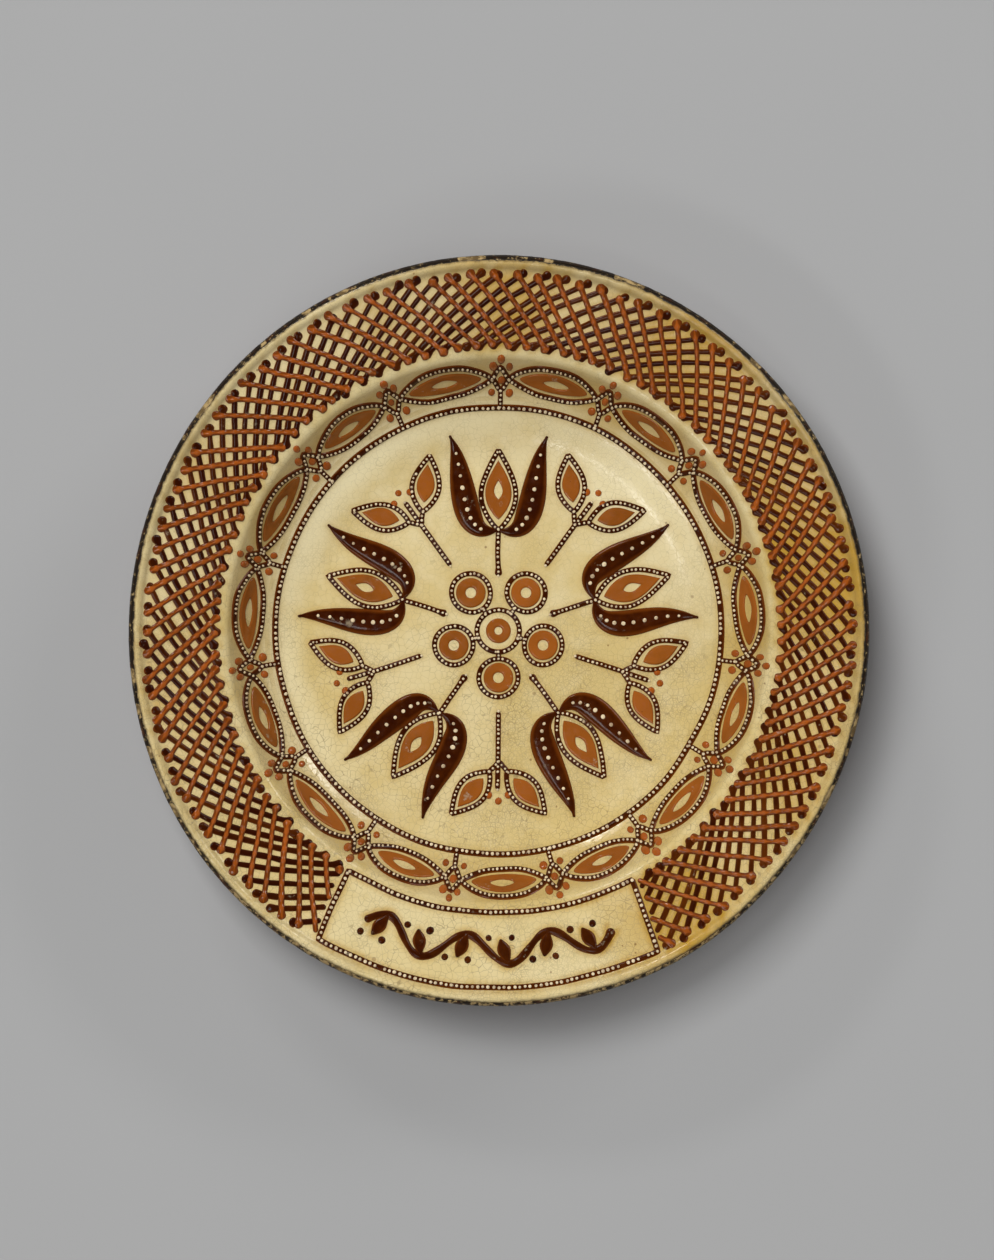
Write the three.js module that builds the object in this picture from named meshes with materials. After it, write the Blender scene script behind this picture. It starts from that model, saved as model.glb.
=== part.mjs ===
// A large trailed-slip dish: a thick red-earthenware body with a bowl-shaped well and a broad flange,
// coated inside with cream slip and drawn on with raised trails and pads of dark and orange slip.
// Millimetres, +Z up. The origin is the middle of the flat base that the dish stands on.
// Bearings are degrees clockwise from +Y, seen from above.
import * as THREE from "three";

// The thrown body
const dishRadius = 220; // to the outside of the rolled lip
const floorThickness = 10;
const wallThickness = 8.5;
const baseRadius = 119; // the flat disc that the dish stands on
const floorRadius = 106; // the flat middle of the well
const wellRadius = 162; // the corner between wall and flange
const wellDepth = 40; // from the floor up to that corner
const wallAngle = 66; // steepness of the wall just under the corner, in degrees
const flangeRise = 11; // from that corner to the foot of the lip
const lipRadius = 3.7; // the round roll at the edge
const shoulderRound = 2.2; // how far the rounding of the corner runs each way
const turns = 48; // facets round the dish

// The cream coat, and how everything drawn on it lies
const slipThickness = 0.9;
const seatGap = 0.3; // left between every layer and the one that carries it
const padGap = 1.2; // bare coat between an orange pad and the outline round it
const padRise = 0.8;
const padTip = 0.5; // half width of a pad at its tips
const padSteps = 5;
const strokeTip = 0.7; // half width of a tapered trail at its tip
const sharpCorner = 0.35; // sine of the half angle below which a corner is drawn in

// The trellis on the flange
const shoulderMargin = 2; // from the rounded shoulder to the middle of the inner blobs
const trailPitch = 3.45; // degrees between neighbouring trails of one colour
const darkStride = 2; // the solids carry every second dark trail, and every orange one
const darkLag = 0.7; // degrees from an orange trail's outer end to that of the dark one beside it
const orangeSweep = 10.5; // degrees that an orange trail gains on its way inwards
const darkSweep = 18.5; // degrees that a dark trail loses on its way inwards
const trailBow = 0.05; // share of its sweep by which a trail lags behind an even turn halfway
const orangeWidth = 3.3;
const darkWidth = 3;
const blobWidth = 5.6;
const sharedBlob = 0.6; // width of the blob that two trails share, as a share of that
const neckRun = 3.4; // from the middle of a blob to where its trail has its own width
const neckClearance = 3.6; // least length of trail between a neck or blob and a crossing
const trailRise = 1.5;
const crossingRise = 1.9; // where an orange trail lies over a dark one

// The panel that interrupts the trellis, framed by one beaded trail
const panelBearing = 182;
const panelOuterSpan = 56.6; // degrees between its side lines, at the lip and at the shoulder
const panelInnerSpan = 60.2;
const frameWidth = 2.6;
const frameRise = 1.2;
const frameClearance = 1.2; // between the frame and the cut ends of the trellis

// The vine in the panel
const vineSpan = 46; // degrees
const vineSwing = 8.5;
const vineWaves = 3;
const vineWidth = 4.4;
const vineRise = 1.5;
const vineLeafWidth = 8;
const vineLeafLean = 1.5; // degrees that a leaf of the vine leans along the panel

// The leaf chain on the wall of the well
// Bearings of the knots, a little unevenly spaced by hand. A leaf hangs from each to the next.
const knots = [0.5, 25, 49, 73, 97.5, 121, 144.5, 167, 190.5, 213, 238, 261.5, 286.5, 312, 335];
const chainMargin = 4.8; // from the corner of the well to the outer crest of the leaves
const chainHeight = 15.6; // from the outer crest to the inner crest
const knotHeight = 12.8; // of the diamond between two leaves
const knotReach = 5; // from the middle of a diamond to where the trails cross
const chainWidth = 2.5;
const chainRise = 1.2;
const ringDrop = 8.4; // from the inner crest of the leaves down to the beaded ring
const ringWidth = 3.2;
const leafTipGap = 8; // from where the trails cross to the tip of the orange leaf

// The flower wheel in the well
const spokes = 5;
const outlineWidth = 2.7;
const outlineRise = 1.3;
const hubRadius = 7.5;
const hubRing = 12.5;
const petalStalk = 4;
const petalLength = 23;
const petalWidth = 23;
const stemStart = 20; // bare coat on a tulip's middle line, from the hub ring outwards
const stemLength = 28;
const heartLength = 47;
const heartWidth = 21;
const sidePetalReach = 56; // from the top of the stem to the tips of the side petals
const sidePetalSpread = 29; // from the tulip's middle line to those tips
const sidePetalWidth = 16;
const sprigStart = 48; // middle of the dish to the foot of a sprig
const sprigStem = 30; // from there to its fork
const sprigStalk = 8;
const sprigLeafLength = 34;
const sprigLeafWidth = 16;
const sprigOpening = 42; // degrees between a sprig's leaf and its stem
const sprigTip = 17; // from the fork to the end of the middle stalk

const clay = { color: 0x8c4a2c, roughness: 0.85, metalness: 0 };
const cream = { color: 0xd8c48c, roughness: 0.25, metalness: 0 };
const darkSlip = { color: 0x2e1009, roughness: 0.2, metalness: 0 };
const orangeSlip = { color: 0xa4592a, roughness: 0.25, metalness: 0 };

const radians = THREE.MathUtils.degToRad;
const degrees = THREE.MathUtils.radToDeg;
const mix = THREE.MathUtils.lerp;
const V2 = (x, y) => new THREE.Vector2(x, y);

// A plan point from a bearing and a radius
const at = (bearing, radius) =>
  V2(radius * Math.sin(radians(bearing)), radius * Math.cos(radians(bearing)));

const cornerHeight = floorThickness + wellDepth;
const lipFoot = dishRadius - 2 * lipRadius;
const coatedLipFoot = lipFoot - 2 * seatGap - slipThickness;
const trellisOuter = coatedLipFoot - blobWidth / 2;
const trellisInner = wellRadius + shoulderRound + shoulderMargin;
const chainOuter = wellRadius - chainMargin;
const chainInner = chainOuter - chainHeight;
const chainMiddle = chainOuter - chainHeight / 2;
const ringRadius = chainInner - ringDrop;

// The upper line of the body's section, from the axis to the foot of the lip
function upperLine() {
  const flangeEnd = V2(lipFoot, cornerHeight + flangeRise);
  const corner = V2(wellRadius, cornerHeight);
  const alongFlange = flangeEnd.clone().sub(corner).normalize();
  const upWall = V2(Math.cos(radians(wallAngle)), Math.sin(radians(wallAngle)));
  const wallEnd = corner.clone().addScaledVector(upWall, -shoulderRound);
  const flangeStart = corner.clone().addScaledVector(alongFlange, shoulderRound);
  const wallRun = (wallEnd.y - floorThickness) / Math.tan(radians(wallAngle));
  const floorEdge = V2(floorRadius, floorThickness);
  const wallFoot = V2(Math.max(wallEnd.x - wallRun, floorRadius + 1), floorThickness);
  const wall = new THREE.QuadraticBezierCurve(floorEdge, wallFoot, wallEnd);
  const shoulder = new THREE.QuadraticBezierCurve(wallEnd, corner, flangeStart);
  return [
    V2(0, floorThickness),
    ...wall.getPoints(4),
    ...shoulder.getPoints(2).slice(1),
    flangeEnd,
  ];
}

// The roll of the lip as an arc about its middle, from one angle to another in degrees
function lipArc(from, to, steps) {
  const middle = V2(lipFoot + lipRadius, cornerHeight + flangeRise);
  return Array.from({ length: steps + 1 }, (_, i) => {
    const angle = radians(mix(from, to, i / steps));
    return V2(
      middle.x + lipRadius * Math.cos(angle),
      middle.y + lipRadius * Math.sin(angle),
    );
  });
}

// A section line moved sideways, to the left of its direction. Points on the axis stay on it.
function offsetLine(points, distance) {
  return points.map((point, i) => {
    const before = points[Math.max(i - 1, 0)];
    const after = points[Math.min(i + 1, points.length - 1)];
    const into = point.clone().sub(before).normalize();
    const out = after.clone().sub(point).normalize();
    const along = into.add(out).normalize();
    const moved = V2(point.x - along.y * distance, point.y + along.x * distance);
    return point.x === 0 ? V2(0, point.y + distance) : moved;
  });
}

const lathe = (section) => new THREE.LatheGeometry(section, turns).rotateX(Math.PI / 2);

function bodyGeometry() {
  const inside = upperLine();
  const outside = offsetLine(inside.slice(1, -1), -wallThickness).filter(
    (point) => point.x > baseRadius + 1,
  );
  return lathe([
    V2(0, 0),
    V2(baseRadius, 0),
    ...outside,
    ...lipArc(-90, 180, 5).slice(0, -1),
    ...inside.reverse(),
  ]);
}

// The line that the coat follows: the well, the flange and the lip up to its crest
const coatedLine = [...upperLine().slice(0, -1), ...lipArc(180, 90, 2)];

function coatGeometry() {
  const under = offsetLine(coatedLine, seatGap);
  const over = offsetLine(coatedLine, seatGap + slipThickness);
  return lathe([...under, ...over.reverse()]);
}

// The coat's upper line, which the trails and pads are laid on
const layingLine = offsetLine(coatedLine, seatGap + slipThickness);

// The radius at which the facet under a plan point was cut from the section
function sectionRadius(plan) {
  const step = (2 * Math.PI) / turns;
  const around = Math.atan2(plan.x, -plan.y);
  const fromFacetMiddle = around - (Math.floor(around / step) + 0.5) * step;
  return (plan.length() * Math.cos(fromFacetMiddle)) / Math.cos(step / 2);
}

// The point over a plan point that stands a given lift off the coat, square to its surface
function onCoat(plan, lift) {
  const radius = sectionRadius(plan);
  const found = layingLine.findIndex((point) => point.x > radius);
  const last = found < 0 ? layingLine.length - 1 : Math.max(found, 1);
  const [a, b] = [layingLine[last - 1], layingLine[last]];
  const along = b.clone().sub(a).normalize();
  const height = a.y + ((radius - a.x) * (b.y - a.y)) / (b.x - a.x);
  const outwards = plan.clone().normalize();
  return new THREE.Vector3(
    plan.x - outwards.x * along.y * lift,
    plan.y - outwards.y * along.y * lift,
    height + along.x * lift,
  );
}

// The section across a pad, as share of half width and share of rise, the way round that faces out
const bead = [[-1, 0], [1, 0], [0.5, 1], [-0.5, 1]];

// The points of every section of a draped ridge, each foot resting on the coat under it
function drapedSections(stations, closed) {
  const count = stations.length;
  return stations.map(({ plan, half, rise }, i) => {
    const before = stations[closed ? (i + count - 1) % count : Math.max(i - 1, 0)];
    const after = stations[closed ? (i + 1) % count : Math.min(i + 1, count - 1)];
    const along = after.plan.clone().sub(before.plan).normalize();
    const across = V2(along.y, -along.x);
    return bead.map(([side, up]) =>
      onCoat(plan.clone().addScaledVector(across, side * half), seatGap + up * rise),
    );
  });
}

// The skin through a row of sections. A closed one joins its last section to its first. Each
// four-sided face is cut along its shorter diagonal.
function skin(sections, closed) {
  const count = sections.length;
  const sides = sections[0].length;
  const points = sections.flat();
  const index = [];
  for (let i = 0; i < (closed ? count : count - 1); i++) {
    const next = (i + 1) % count;
    for (let j = 0; j < sides; j++) {
      const side = (j + 1) % sides;
      const [a, b] = [i * sides + j, next * sides + j];
      const [c, d] = [next * sides + side, i * sides + side];
      const cutAC = points[a].distanceTo(points[c]) <= points[b].distanceTo(points[d]);
      index.push(...(cutAC ? [a, c, d, a, b, c] : [a, b, d, b, c, d]));
    }
  }
  if (!closed) {
    const hinge = sides - 1;
    const far = (count - 1) * sides;
    for (let j = 0; j < sides - 2; j++) {
      index.push(hinge, j, j + 1);
      index.push(far + hinge, far + j + 1, far + j);
    }
  }
  return new THREE.BufferGeometry().setFromPoints(points).setIndex(index);
}

// A ridge of slip through stations { plan, half, rise }, lying on the coat
const ridge = (stations, closed = false) => skin(drapedSections(stations, closed), closed);

// Stations at even steps of t from 0 to 1, from the plan point and the half width at t
function stationsAlong(planAt, halfAt, rise, steps) {
  return Array.from({ length: steps + 1 }, (_, i) => {
    const t = i / steps;
    return { plan: planAt(t), half: halfAt(t), rise };
  });
}

// The corners between neighbouring arms of a station, in the order of the arms round it
function armCorners({ plan, half }, arms) {
  if (arms.length === 1) {
    const { angle } = arms[0];
    return [angle + Math.PI / 2, angle - Math.PI / 2].map((side) =>
      plan.clone().add(V2(half * Math.cos(side), half * Math.sin(side))),
    );
  }
  return arms.map(({ angle }, j) => {
    const next = j + 1 < arms.length ? arms[j + 1].angle : arms[0].angle + 2 * Math.PI;
    const reach = half / Math.max(Math.sin((next - angle) / 2), sharpCorner);
    const middle = (angle + next) / 2;
    return plan.clone().add(V2(reach * Math.cos(middle), reach * Math.sin(middle)));
  });
}

// Strands of slip that run together where they cross, as one closed skin of three-sided ridges.
// A strand is a row of stations, and a station that two strands share is a crossing.
function net(strands) {
  const armsOf = new Map();
  const segments = [];
  for (const { stations, closed } of strands) {
    stations.forEach((from, i) => {
      if (i + 1 === stations.length && !closed) return;
      segments.push([from, stations[(i + 1) % stations.length]]);
    });
  }
  for (const [from, to] of segments) {
    for (const [station, other] of [[from, to], [to, from]]) {
      const angle = other.plan.clone().sub(station.plan).angle();
      armsOf.set(station, [...(armsOf.get(station) ?? []), { angle, other }]);
    }
  }
  const points = [];
  const index = [];
  const addPoint = (plan, lift) => points.push(onCoat(plan, lift)) - 1;
  for (const [station, arms] of armsOf) {
    arms.sort((a, b) => a.angle - b.angle);
    const top = addPoint(station.plan, seatGap + station.rise);
    const corners = armCorners(station, arms).map((corner) => addPoint(corner, seatGap));
    arms.forEach((arm, j) => {
      arm.top = top;
      arm.left = corners[j];
      arm.right = corners[(j + corners.length - 1) % corners.length];
    });
    for (let j = 1; j + 1 < arms.length; j++) {
      index.push(corners[0], corners[j + 1], corners[j]);
    }
    if (arms.length === 1) index.push(corners[0], corners[1], top);
  }
  for (const [from, to] of segments) {
    const a = armsOf.get(from).find((arm) => arm.other === to);
    const b = armsOf.get(to).find((arm) => arm.other === from);
    index.push(a.left, a.top, b.top, a.left, b.top, b.right);
    index.push(a.right, b.top, a.top, a.right, b.left, b.top);
    index.push(a.left, b.right, b.left, a.left, b.left, a.right);
  }
  return new THREE.BufferGeometry().setFromPoints(points).setIndex(index);
}

// The side lines of the gap in the trellis, as bearings at its outer and inner edge
function gapLine(side) {
  const reach = frameWidth / 2 + frameClearance + Math.max(orangeWidth, darkWidth) / 2;
  const clear = (radius) => degrees(reach / radius);
  return [
    panelBearing + side * (panelOuterSpan / 2 + clear(trellisOuter)),
    panelBearing + side * (panelInnerSpan / 2 + clear(trellisInner)),
  ];
}

// How much of its sweep a trail has turned through at t, and the t at which that is a given share
const turnedAt = (t) => t - trailBow * Math.sin(Math.PI * t);
function whenTurned(share) {
  let t = share;
  for (let step = 0; step < 8; step++) t = share + trailBow * Math.sin(Math.PI * t);
  return t;
}

// One trail of the trellis, from the stretch of it outside the panel. It runs from t = 0 at the lip
// to t = 1 at the shoulder.
function trellisTrail(start, sweep, width) {
  const [leftOuter, leftInner] = gapLine(1);
  const [rightOuter, rightInner] = gapLine(-1).map((bearing) => bearing + 360);
  const bearingAt = (t) => start + sweep * turnedAt(t);
  const steps = 400;
  const clear = Array.from({ length: steps + 1 }, (_, i) => i / steps).filter((t) => {
    const bearing = bearingAt(t);
    return bearing > mix(leftOuter, leftInner, t) && bearing < mix(rightOuter, rightInner, t);
  });
  const planAt = (t) => at(bearingAt(t), mix(trellisOuter, trellisInner, t));
  return { start, width, from: clear[0] ?? 1, to: clear.at(-1) ?? 0, planAt, crossings: [] };
}

// The stations of a trail: its crossings, a round blob at each open end that shares none, and a
// blunt end at the panel, unless a crossing is so close that the trail stops on it
function trailStations({ width, from, to, planAt, crossings }) {
  const plain = (t) => ({ t, plan: planAt(t), half: width / 2, rise: trailRise });
  const blob = (t) => ({ ...plain(t), half: blobWidth / 2 });
  const trailRun = trellisOuter - trellisInner;
  const neck = neckRun / trailRun;
  const row = crossings.map(({ t, station }) => ({ t, station }));
  const ends = from === 0 ? [blob(0), plain(neck)] : [plain(from)];
  ends.push(...(to === 1 ? [plain(1 - neck), blob(1)] : [plain(to)]));
  if (row.some(({ t }) => t === 0)) ends.splice(0, 2);
  if (row.some(({ t }) => t === 1)) ends.splice(-2, 2);
  for (const end of ends) {
    const clear = row.every(({ t }) => Math.abs(t - end.t) > neckClearance / trailRun);
    if (clear) row.push({ t: end.t, station: end });
  }
  return row.sort((a, b) => a.t - b.t).map(({ station }) => station);
}

// Each family of trails covers the flange from one side of the panel round to the other, and the
// dark ones run the other way. A dark trail shares each blob with the orange one that ends nearest.
function trellisGeometry() {
  const meeting = orangeSweep + darkSweep;
  const first = gapLine(1)[0] - orangeSweep;
  const whole = 360 + gapLine(-1)[0] + darkSweep - first;
  const family = (start, spacing, sweep, width) =>
    Array.from({ length: Math.ceil(whole / spacing) }, (_, i) =>
      trellisTrail(start + i * spacing, sweep, width),
    );
  const orange = family(first, trailPitch, orangeSweep, orangeWidth);
  const dark = family(first + darkLag, trailPitch * darkStride, -darkSweep, darkWidth);
  const crossing = { half: (orangeWidth + darkWidth) / 4, rise: crossingRise };
  const joined = { half: (blobWidth / 2) * sharedBlob, rise: crossingRise };
  for (const over of orange) {
    for (const under of dark) {
      const share = (under.start - over.start) / meeting;
      const t = whenTurned(share);
      const end = share < 0.5 ? 0 : 1;
      const open = [over, under].every(({ from, to }) => (end === 0 ? from === 0 : to === 1));
      if (open && Math.abs(share - end) * meeting <= trailPitch / 2) {
        const plan = over.planAt(end).lerp(under.planAt(end), 0.5);
        const station = { ...joined, plan };
        over.crossings.push({ t: end, station });
        under.crossings.push({ t: end, station });
      } else if (t > Math.max(over.from, under.from) && t < Math.min(over.to, under.to)) {
        const station = { ...crossing, plan: over.planAt(t) };
        over.crossings.push({ t, station });
        under.crossings.push({ t, station });
      }
    }
  }
  const held = [...orange, ...dark].filter(({ crossings }) => crossings.length > 1);
  return net(held.map((trail) => openStrand(...trailStations(trail))));
}

// The frame of the panel: along the outer line, down one side, back along the inner line and up
function panelFrameGeometry() {
  const outer = coatedLipFoot - frameWidth / 2;
  const inner = wellRadius + shoulderRound + frameWidth / 2;
  const corners = [
    [panelBearing - panelOuterSpan / 2, outer, 9],
    [panelBearing + panelOuterSpan / 2, outer, 3],
    [panelBearing + panelInnerSpan / 2, inner, 9],
    [panelBearing - panelInnerSpan / 2, inner, 3],
  ];
  const stations = corners.flatMap(([bearing, radius, steps], i) => {
    const [nextBearing, nextRadius] = corners[(i + 1) % corners.length];
    return Array.from({ length: steps }, (_, k) => ({
      plan: at(mix(bearing, nextBearing, k / steps), mix(radius, nextRadius, k / steps)),
      half: frameWidth / 2,
      rise: frameRise,
    }));
  });
  return ridge(stations, true);
}

// The vine: one thick wave along the panel, with a leaf that grows back from each crest
function vineGeometry() {
  const middle = (trellisOuter + trellisInner) / 2;
  const bearingAt = (t) => panelBearing + vineSpan * (t - 0.5);
  const waveAt = (t) =>
    at(bearingAt(t), middle + vineSwing * Math.sin(2 * Math.PI * vineWaves * t));
  const waveHalf = (t) => (vineWidth / 2) * Math.min(1, 0.45 + 8 * t, 8.45 - 8 * t);
  const stepsPerCrest = 4;
  const crests = 2 * vineWaves;
  const wave = stationsAlong(waveAt, waveHalf, vineRise, stepsPerCrest * crests);
  const leaves = Array.from({ length: crests }, (_, crest) => {
    const side = crest % 2 ? -1 : 1;
    const bearing = bearingAt((crest + 0.5) / crests);
    const leafAt = (share) =>
      at(bearing + share * vineLeafLean, middle + side * vineSwing * (1 - 1.7 * share));
    const root = wave[(crest + 0.5) * stepsPerCrest];
    const belly = { plan: leafAt(0.55), half: vineLeafWidth / 2, rise: vineRise };
    return [root, belly, { plan: leafAt(1), half: strokeTip, rise: vineRise }];
  });
  return net([wave, ...leaves].map((stations) => openStrand(...stations)));
}

const knotAngle = degrees(knotReach / chainMiddle);
const knotAfter = (leaf) => knots[leaf + 1] ?? knots[0] + 360;

// The beaded ring round the well's floor, and two strands above it that cross beside every knot.
// One swings over the outer crest of each leaf and under its diamonds, the other the other way
// round. A stem joins the ring to the lower corner of each diamond.
function chainGeometry() {
  const half = chainWidth / 2;
  const rise = chainRise;
  const ring = [];
  const strands = { 1: [], "-1": [] };
  const stems = [];
  knots.forEach((knot, leaf) => {
    const nextKnot = knotAfter(leaf);
    const middle = (knot + nextKnot) / 2;
    const reach = (nextKnot - knot) / 2 - knotAngle;
    for (let third = 0; third < 3; third++) {
      const bearing = mix(knot, nextKnot, third / 3);
      ring.push({ plan: at(bearing, ringRadius), half: ringWidth / 2, rise });
    }
    const crossBefore = { plan: at(knot + knotAngle, chainMiddle), half, rise };
    const crossAfter = { plan: at(nextKnot - knotAngle, chainMiddle), half, rise };
    for (const side of [1, -1]) {
      const station = (share, level) => ({
        plan: at(middle + share * reach, chainMiddle + (side * chainHeight * level) / 2),
        half,
        rise,
      });
      const corner = at(knot, chainMiddle - (side * knotHeight) / 2);
      strands[side].push(
        { plan: corner, half, rise },
        crossBefore,
        station(-0.75, 0.52),
        station(-0.4, 0.9),
        station(0, 1),
        station(0.4, 0.9),
        station(0.75, 0.52),
        crossAfter,
      );
    }
    const [foot] = ring.slice(-3);
    const [lowerCorner] = strands[1].slice(-8);
    stems.push([foot, lowerCorner]);
  });
  return net([
    { stations: ring, closed: true },
    { stations: strands[1], closed: true },
    { stations: strands[-1], closed: true },
    ...stems.map((stem) => openStrand(...stem)),
  ]);
}

// The orange leaf inside one outline: a pointed pad as wide as the outline leaves room for
function leafPadGeometry(leaf) {
  const inset = knotAngle + degrees(leafTipGap / chainMiddle);
  const start = knots[leaf] + inset;
  const end = knotAfter(leaf) - inset;
  const room = chainHeight / 2 - chainWidth / 2 - padGap;
  const planAt = (t) => at(mix(start, end, t), chainMiddle);
  const halfAt = (t) => Math.max(padTip, room * Math.sin(Math.PI * t) ** 0.8);
  return ridge(stationsAlong(planAt, halfAt, padRise, padSteps));
}

// Half widths along a petal, as shares of its half width at u from root to tip
const round = (u) => Math.sqrt(4 * u * (1 - u));
const almond = (u) => Math.sin(Math.PI * u ** 0.85);

// A plan point in the frame of a petal, whose stalk starts on its spoke at a distance from the
// middle of the dish and is turned away from it. Run goes along the petal and side across it.
function inPetal({ bearing, start, turn = 0, stalk = 0 }, run, side) {
  return at(bearing, start)
    .add(at(bearing + turn, stalk + run))
    .add(at(bearing + turn + 90, side));
}

const outlineStation = (plan) => ({ plan, half: outlineWidth / 2, rise: outlineRise });
const openStrand = (...stations) => ({ stations, closed: false });

// The outline of a petal as a closed strand that starts and ends at its root
function petalOutline(petal, root) {
  const steps = 10;
  const stations = [root];
  for (let i = 1; i < steps; i++) {
    const angle = (2 * Math.PI * i) / steps;
    const u = (1 - Math.cos(angle)) / 2;
    const side = Math.sign(steps / 2 - i) * (petal.width / 2) * petal.shape(u);
    stations.push(outlineStation(inPetal(petal, petal.length * u, side)));
  }
  return { stations, closed: true };
}

// The same with a stalk that leads to it from another station
function stalkedPetal(petal, from) {
  const root = outlineStation(inPetal(petal, 0, 0));
  return [openStrand(from, root), petalOutline(petal, root)];
}

// The pad inside that outline. Its two ends keep further off where the outline is pointed.
function petalPad(petal) {
  const inset = outlineWidth / 2 + padGap;
  const room = petal.width / 2 - inset;
  const sharpness = petal.shape === almond ? petal.length / petal.width : 1;
  const tip = inset * Math.max(1, sharpness);
  const planAt = (t) => inPetal(petal, mix(tip, petal.length - tip, t), 0);
  const halfAt = (t) => Math.max(padTip, room * petal.shape(t));
  return ridge(stationsAlong(planAt, halfAt, padRise, padSteps));
}

const tulipBearing = (spoke) => (spoke * 360) / spokes;
const sprigBearing = (spoke) => ((spoke + 0.5) * 360) / spokes;
const stemTop = hubRing + stemStart + stemLength;

const rosettePetal = (spoke) => ({
  bearing: sprigBearing(spoke),
  start: hubRing,
  stalk: petalStalk,
  length: petalLength,
  width: petalWidth,
  shape: round,
});

const heart = (spoke) => ({
  bearing: tulipBearing(spoke),
  start: stemTop,
  length: heartLength,
  width: heartWidth,
  shape: almond,
});

const sprigLeaf = (spoke, side) => ({
  bearing: sprigBearing(spoke),
  start: sprigStart + sprigStem,
  turn: side * sprigOpening,
  stalk: sprigStalk,
  length: sprigLeafLength,
  width: sprigLeafWidth,
  shape: almond,
});

function hubGeometry() {
  const planAt = (t) => V2(0, mix(-hubRadius, hubRadius, t));
  const halfAt = (t) => Math.max(padTip, hubRadius * round(t));
  return ridge(stationsAlong(planAt, halfAt, padRise, padSteps));
}

// The ring round the hub and the round petals on their short stalks
function rosetteGeometry() {
  const steps = 4 * spokes;
  const ring = Array.from({ length: steps }, (_, i) =>
    outlineStation(at((i * 360) / steps, hubRing)),
  );
  const strands = [{ stations: ring, closed: true }];
  for (let spoke = 0; spoke < spokes; spoke++) {
    strands.push(...stalkedPetal(rosettePetal(spoke), ring[4 * spoke + 2]));
  }
  return net(strands);
}

// One tulip in dark slip: the stem, two broad side petals that curl away, and the outline of the
// heart between them
function tulipGeometry(spoke) {
  const flower = heart(spoke);
  const top = outlineStation(inPetal(flower, 0, 0));
  const foot = outlineStation(inPetal(flower, -stemLength, 0));
  const strands = [openStrand(foot, top), petalOutline(flower, top)];
  for (const side of [-1, 1]) {
    const spine = new THREE.CubicBezierCurve(
      V2(0, 0),
      V2(-0.12 * sidePetalReach, side * 0.9 * sidePetalSpread),
      V2(0.6 * sidePetalReach, side * 0.6 * sidePetalSpread),
      V2(sidePetalReach, side * sidePetalSpread),
    );
    const planAt = (t) => {
      const point = spine.getPoint(t);
      return inPetal(flower, point.x, point.y);
    };
    const halfAt = (t) =>
      Math.max(strokeTip, (sidePetalWidth / 2) * Math.sin(Math.PI * t ** 0.9) ** 0.9);
    const petal = stationsAlong(planAt, halfAt, outlineRise, 7).slice(1);
    strands.push(openStrand(top, ...petal));
  }
  return net(strands);
}

// One sprig between two tulips: a stem that forks into two stalked leaves and a middle stalk
function sprigGeometry(spoke) {
  const onStem = (out) => outlineStation(at(sprigBearing(spoke), sprigStart + out));
  const fork = onStem(sprigStem);
  return net([
    openStrand(onStem(0), fork, onStem(sprigStem + sprigTip)),
    ...stalkedPetal(sprigLeaf(spoke, -1), fork),
    ...stalkedPetal(sprigLeaf(spoke, 1), fork),
  ]);
}

const dish = new THREE.Group();

function place(name, geometry, finish) {
  const mesh = new THREE.Mesh(geometry, new THREE.MeshStandardMaterial(finish));
  mesh.name = name;
  dish.add(mesh);
}

const numbered = (name, index) => `${name}_${String(index + 1).padStart(2, "0")}`;

place("clay_body", bodyGeometry(), clay);
place("cream_coat", coatGeometry(), cream);
place("rim_trellis", trellisGeometry(), orangeSlip);
place("panel_frame", panelFrameGeometry(), darkSlip);
place("panel_vine", vineGeometry(), darkSlip);
place("leaf_chain", chainGeometry(), darkSlip);
for (let leaf = 0; leaf < knots.length; leaf++) {
  place(numbered("chain_leaf", leaf), leafPadGeometry(leaf), orangeSlip);
}
place("rosette_hub", hubGeometry(), orangeSlip);
place("rosette_outline", rosetteGeometry(), darkSlip);
for (let spoke = 0; spoke < spokes; spoke++) {
  place(numbered("rosette_petal", spoke), petalPad(rosettePetal(spoke)), orangeSlip);
  place(numbered("tulip", spoke), tulipGeometry(spoke), darkSlip);
  place(numbered("tulip_heart", spoke), petalPad(heart(spoke)), orangeSlip);
  place(numbered("sprig", spoke), sprigGeometry(spoke), darkSlip);
  place(numbered("sprig_leaf", 2 * spoke), petalPad(sprigLeaf(spoke, -1)), orangeSlip);
  place(numbered("sprig_leaf", 2 * spoke + 1), petalPad(sprigLeaf(spoke, 1)), orangeSlip);
}

export default dish;
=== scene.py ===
"""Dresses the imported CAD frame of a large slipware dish: clay, trailed slip, glaze, floor and light.

Metres, in the frame of the CAD model. Bearings are in radians clockwise from +Y, seen from above.
"""

import math
from dataclasses import dataclass

import bmesh
import bpy
import numpy as np
from bpy.props import FloatProperty, FloatVectorProperty, IntProperty, PointerProperty
from bpy.types import Operator, Panel, PropertyGroup
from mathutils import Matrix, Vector
from mathutils.kdtree import KDTree


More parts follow.
